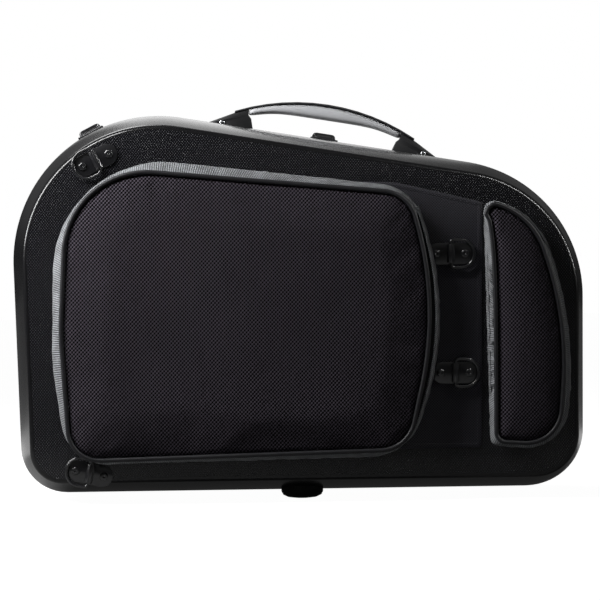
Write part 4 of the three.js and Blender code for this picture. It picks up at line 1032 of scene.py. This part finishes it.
@dataclass(frozen=True)
class RingFitting:
    """D-ring under a ribbed curl of its strap plate, with two rivets, at its own angle."""

    place: str
    centre: Pair
    turn: float
    seat: float = 0.0
    length: float = 47 * MM
    width: float = 22 * MM
    top: float = 2.0 * MM
    wire: float = 1.6 * MM
    bar: float = 3.8 * MM
    spacing: float = 29.4 * MM
    lip: float = 1.9 * MM
    play: float = 0.4 * MM
    rib: float = 0.5 * MM
    curl_half: float = 9.6 * MM

    def at(self, u: float, v: float, w: float) -> Vector:
        """Gives a point: u along the plate to the ring, v across it, w out of the face."""
        angle = radians(self.turn)
        x = self.centre[0] * CASE_LENGTH + u * cos(angle) - v * sin(angle)
        z = FOOT_HEIGHT + self.centre[1] * BODY_HEIGHT + u * sin(angle) + v * cos(angle)
        return Vector((x, SEAM_Y - HALF_DEPTH - self.seat - w, z))

    def outline(
        self, box: Triple, radii: Pair, count: int
    ) -> Stations:
        """Gives a rounded outline in the plate's own plane.

        Args:
            box: the ends along u, and the half width across.
            radii: radius in mm of the corners at the first end and at the last.
            count: how many points.

        Returns:
            The points, with u as x and v as z.
        """
        (first, last, half), (low, high) = box, radii
        corners = ((first, -half), (first, half), (last, half), (last, -half))
        shares = tuple((u / CASE_LENGTH, (v - FOOT_HEIGHT) / BODY_HEIGHT) for u, v in corners)
        return Outline(shares, (low, low, high, high)).points(count)

    def build(self) -> None:
        """Builds the plate, the ring and the rivets."""
        self.plate()
        self.ring()
        self.rivet("outer", self.spacing / 2)
        self.rivet("inner", -self.spacing / 2)

    def plate(self) -> None:
        """Builds the plate with rounded ends, and joins the curl that holds the bar."""
        box = (-self.length / 2, self.length / 2, self.width / 2)
        edge = self.outline(box, (10.9, 10.9), 96)
        profile = [(0.4, 0.25), (0.0, 0.6), (0.0, 1.6), (0.12, 1.86), (0.45, 2.0)]
        rings = []
        for inset, w in profile:
            ring = [s.moved(inset * MM) for s in edge]
            rings.append([self.at(s.x, s.z, w * MM) for s in ring])
        plate = lofted(f"ring_plate_{self.place}_pressed", rings, Ends.CAPPED)
        outer, inner = self.wire + self.lip, self.wire + self.play
        turns = [radians(200 * i / 48 - 20) for i in range(49)]
        bend = [(outer + self.rib * abs(sin(3.6 * a)), a) for a in turns]
        bend += [(inner, a) for a in reversed(turns[::3])]
        section = [(r * cos(a), self.bar + r * sin(a)) for r, a in bend]
        section += [(-inner, 1.3 * MM), (-outer, 1.3 * MM)]
        curl = lofted(
            f"ring_curl_{self.place}",
            [[self.at(u, v, w) for u, w in section] for v in (-self.curl_half, self.curl_half)],
            Ends.CAPPED,
        )
        bevelled(curl, 0.15 * MM, 60)
        alone(plate)
        curl.select_set(True)
        bpy.ops.object.join()
        smoothed(plate, 35)
        dressed(plate, ENAMEL, "black_metal", "back", f"ring_plate_{self.place}")

    def ring(self) -> None:
        """Bends the wire to a D round its straight bar."""
        path = self.outline((0.0, 23.8 * MM, 14.1 * MM), (4.0, 13.6), 120)
        rings = []
        for out, up in circle(16, self.wire):
            shifted = [s.moved(-out) for s in path]
            rings.append([self.at(s.x, s.z, self.bar + up) for s in shifted])
        obj = lofted(f"d_ring_{self.place}_bent", rings, Ends.WRAPPED)
        smoothed(obj, 60)
        dressed(obj, ENAMEL, "black_metal", f"ring_{self.place}", f"d_ring_{self.place}")

    def rivet(self, end: str, u: float) -> None:
        """Turns one rivet: a dome with a dimple, and a tail inside the shell."""
        inside, over = -self.seat / MM - 3.5, self.top / MM
        profile = [(1.2, inside - 1.5), (2.4, inside - 1.3), (2.8, inside - 0.7), (2.8, inside)]
        profile += [(2.1, inside), (2.1, over), (4.2, over), (4.2, over + 0.5)]
        dome = [radians(a) for a in range(10, 100, 10)]
        profile += [(1.5 + 2.7 * cos(a), over + 0.5 + 1.5 * sin(a)) for a in dome]
        profile += [(1.15, over + 1.8), (0.9, over + 1.2), (0.5, over + 1.05)]
        rings = [[self.at(u + x, y, w * MM) for x, y in circle(32, r * MM)] for r, w in profile]
        obj = lofted(f"rivet_{self.place}_{end}_turned", rings, Ends.CAPPED)
        smoothed(obj, 45)
        dressed(obj, ENAMEL, "rivet", "back", f"rivet_{self.place}_{end}")


RING_FITTINGS = (
    RingFitting("upper_left", (-0.3473, 0.871), 206),
    RingFitting("lower_left", (-0.3633, 0.0641), 168),
    RingFitting("upper_right", (0.2536, 0.6195), 0, 1.7 * MM),
    RingFitting("lower_right", (0.259, 0.3116), 0, 1.7 * MM),
)


@dataclass(frozen=True)
class Fittings:
    """Parts that the frame already shapes: their edges are broken, and they are dressed."""

    fine: float = 0.2 * MM

    def build(self) -> None:
        """Refines every fitting, and the folding handle."""
        for i in (1, 2, 3):
            refined(f"hinge_front_leaf_{i}", ENAMEL, "black_metal", self.fine)
            refined(f"hinge_back_leaf_{i}", ENAMEL, "black_metal", self.fine)
            refined(f"hinge_pin_{i}", NICKEL, "nickel", self.fine)
        for place in ("top", "left"):
            for part in ("base", "pin", "keeper"):
                refined(f"latch_{part}_{place}", LATCH, "nickel", self.fine)
            refined(f"latch_lever_{place}", LATCH, "nickel", 1.2 * MM)
            refined(f"latch_bail_{place}", LATCH, "nickel", 0, 1)
        for side in ("front", "back"):
            refined(f"{side}_foot", RUBBER, "foot", 0.6 * MM)
            refined(f"{side}_valance", ALUMINIUM, "valance", self.fine)
            refined(f"{side}_liner", PLUSH, "liner", 1.5 * MM)
        refined("seam_gasket", RUBBER, "gasket", self.fine)
        refined("handle_grip", GRIP, "handle_grip", 0, 2)
        refined("handle_strap", STRAP, "handle_strap", 0.4 * MM)
        for side in ("left", "right"):
            refined(f"handle_cap_{side}", CAP, "handle_cap", 0.9 * MM)
            refined(f"handle_screw_{side}", NICKEL, "nickel", self.fine)
            refined(f"handle_pin_{side}", NICKEL, "nickel", self.fine)
            refined(f"handle_bracket_{side}", ENAMEL, "black_metal", 0.3 * MM)


# --- studio


def aimed(obj: Object, way: Vector, spin: float) -> None:
    """Turns an object to look along a way, spun on its own axis by an angle in degrees."""
    aim = way.to_track_quat("-Z", "Y").to_matrix()
    obj.rotation_euler = (aim @ Matrix.Rotation(radians(spin), 3, "Z")).to_euler()


@dataclass
class Studio:
    """Pale floor and backdrop, soft lamps and the camera at the photograph's angle."""

    target: Triple = (1.65 * MM, 13.25 * MM, 206 * MM)
    distance: float = 2.75
    turn: float = 2.0
    roll: float = 0.7
    focal: float = 155.5
    sky: tuple[Pair, Pair] = ((0.012, 0.015), (0.25, 1.35))
    floor_glow: float = 0.03
    floor_white: float = 0.98

    def build(self) -> None:
        """Sets up the world, the floor, the lamps and the camera."""
        self.world()
        self.floor()
        self.lamp("key", (-0.63, -0.345, 0.67), 9.8, (0.09, 0.9), -37)
        self.lamp("right_strip", (0.95, -0.5, 0.9), 10.0, (0.03, 1.3), 36, filling=False)
        self.lamp("rear", (-0.6, 1.0, 1.6), 9.0, (0.8, 0.8))
        self.camera()
        view = bpy.context.scene.view_settings
        view.view_transform = "Standard"

    def world(self) -> None:
        """Lights the case softly and shows white to the camera and in gloss."""
        world = bpy.data.worlds.new("studio_white")
        bpy.context.scene.world = world
        tree = blank_tree(world)
        rays = add_node(tree, "ShaderNodeLightPath").outputs
        way = axes(tree, add_node(tree, "ShaderNodeTexCoord").outputs["Generated"])
        low, high = [ranged(tree, rays["Is Glossy Ray"], WHOLE, ends, False) for ends in self.sky]
        behind = ranged(tree, way["Y"], (-0.1, 0.6), WHOLE)
        fading = ranged(tree, way["Z"], (0.2, 0.6), (behind, 0.15))
        beside = computed(tree, "ABSOLUTE", way["X"])
        middle = ranged(tree, beside, (0.05, 0.15), (fading, 0.05))
        height = ranged(tree, way["Z"], (0.02, 0.2), (0.0, middle))
        sky = ranged(tree, height, WHOLE, (low, high), False)
        level = ranged(tree, rays["Is Camera Ray"], WHOLE, (sky, 1.0), False)
        inputs = {"Color": linear("ffffff"), "Strength": level}
        light = add_node(tree, "ShaderNodeBackground", inputs)
        add_node(tree, "ShaderNodeOutputWorld", {"Surface": light.outputs["Background"]})

    def floor(self) -> None:
        """Lays a wide pale floor that keeps the case's shadow, and glows in gloss behind it."""
        bpy.ops.mesh.primitive_plane_add(size=60, location=(0, 0, 0))
        floor = bpy.context.object
        floor.name = "studio_floor"
        bpy.ops.object.transform_apply(location=True, rotation=True, scale=True)
        material = bpy.data.materials.new("studio_paper")
        tree = blank_tree(material)
        rays = add_node(tree, "ShaderNodeLightPath").outputs
        camera, gloss = rays["Is Camera Ray"], rays["Is Glossy Ray"]
        away = axes(tree, add_node(tree, "ShaderNodeTexCoord").outputs["Object"])["Y"]
        beyond = ranged(tree, away, (0.25, 0.5), (self.floor_glow, 0.6))
        patch = ranged(tree, away, (0.8, 1.4), (beyond, 0.06))
        glossed = ranged(tree, gloss, WHOLE, (self.floor_glow, patch), False)
        level = ranged(tree, camera, WHOLE, (glossed, self.floor_white), False)
        paper = add_node(tree, "ShaderNodeBsdfDiffuse", {"Color": linear("8c8c8c")})
        inputs = {"Color": linear("ffffff"), "Strength": level}
        glow = add_node(tree, "ShaderNodeEmission", inputs)
        inputs = {0: paper.outputs["BSDF"], 1: glow.outputs["Emission"]}
        both = add_node(tree, "ShaderNodeAddShader", inputs)
        plain = add_node(tree, "ShaderNodeBsdfDiffuse", {"Color": linear("6c6c6c")})
        seen = computed(tree, "MAXIMUM", camera, gloss)
        inputs = {0: seen, 1: plain.outputs["BSDF"], 2: both.outputs["Shader"]}
        mix = add_node(tree, "ShaderNodeMixShader", inputs)
        add_node(tree, "ShaderNodeOutputMaterial", {"Surface": mix.outputs["Shader"]})
        floor.data.materials.append(material)

    def lamp(
        self,
        name: str,
        place: Triple,
        power: float,
        size: Pair,
        spin: float = 0.0,
        filling: bool = True,
    ) -> None:
        """Hangs a soft lamp, so wide and so tall, that faces the case.

        Args:
            name: the lamp's name.
            place: where it hangs.
            power: its power in watts.
            size: its width and height.
            spin: its turn on its own axis, in degrees.
            filling: whether it lights matt surfaces too, or shows in gloss alone.
        """
        light = bpy.data.lights.new(name, "AREA")
        light.shape = "RECTANGLE"
        light.energy = power
        light.size, light.size_y = size
        lamp = placed(name, light)
        lamp.location = place
        aimed(lamp, Vector(self.target) - Vector(place), spin)
        lamp.visible_diffuse = filling

    def camera(self) -> None:
        """Sets the camera a little to the left, level, and turned by the photo's tilt."""
        lens = bpy.data.cameras.new("camera")
        lens.lens = self.focal
        lens.sensor_width = 36
        camera = placed("camera", lens)
        angle = radians(self.turn)
        offset = Vector((-sin(angle), -cos(angle), 0)) * self.distance
        camera.location = Vector(self.target) + offset
        aimed(camera, -offset, -self.roll)
        bpy.context.scene.camera = camera


def main() -> None:
    """Builds the studio and the case."""
    logging.basicConfig(level=logging.INFO)
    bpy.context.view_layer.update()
    Studio().build()
    Shell("front_shell", "front", 1, 3.5 * MM).build()
    Shell("back_shell", "back", -1, 0.0, swell=2.2 * MM).build()
    BackPanel().build()
    LARGE.build()
    SMALL.build()
    for fitting in RING_FITTINGS:
        fitting.build()
    Fittings().build()


if __name__ == "__main__":
    main()
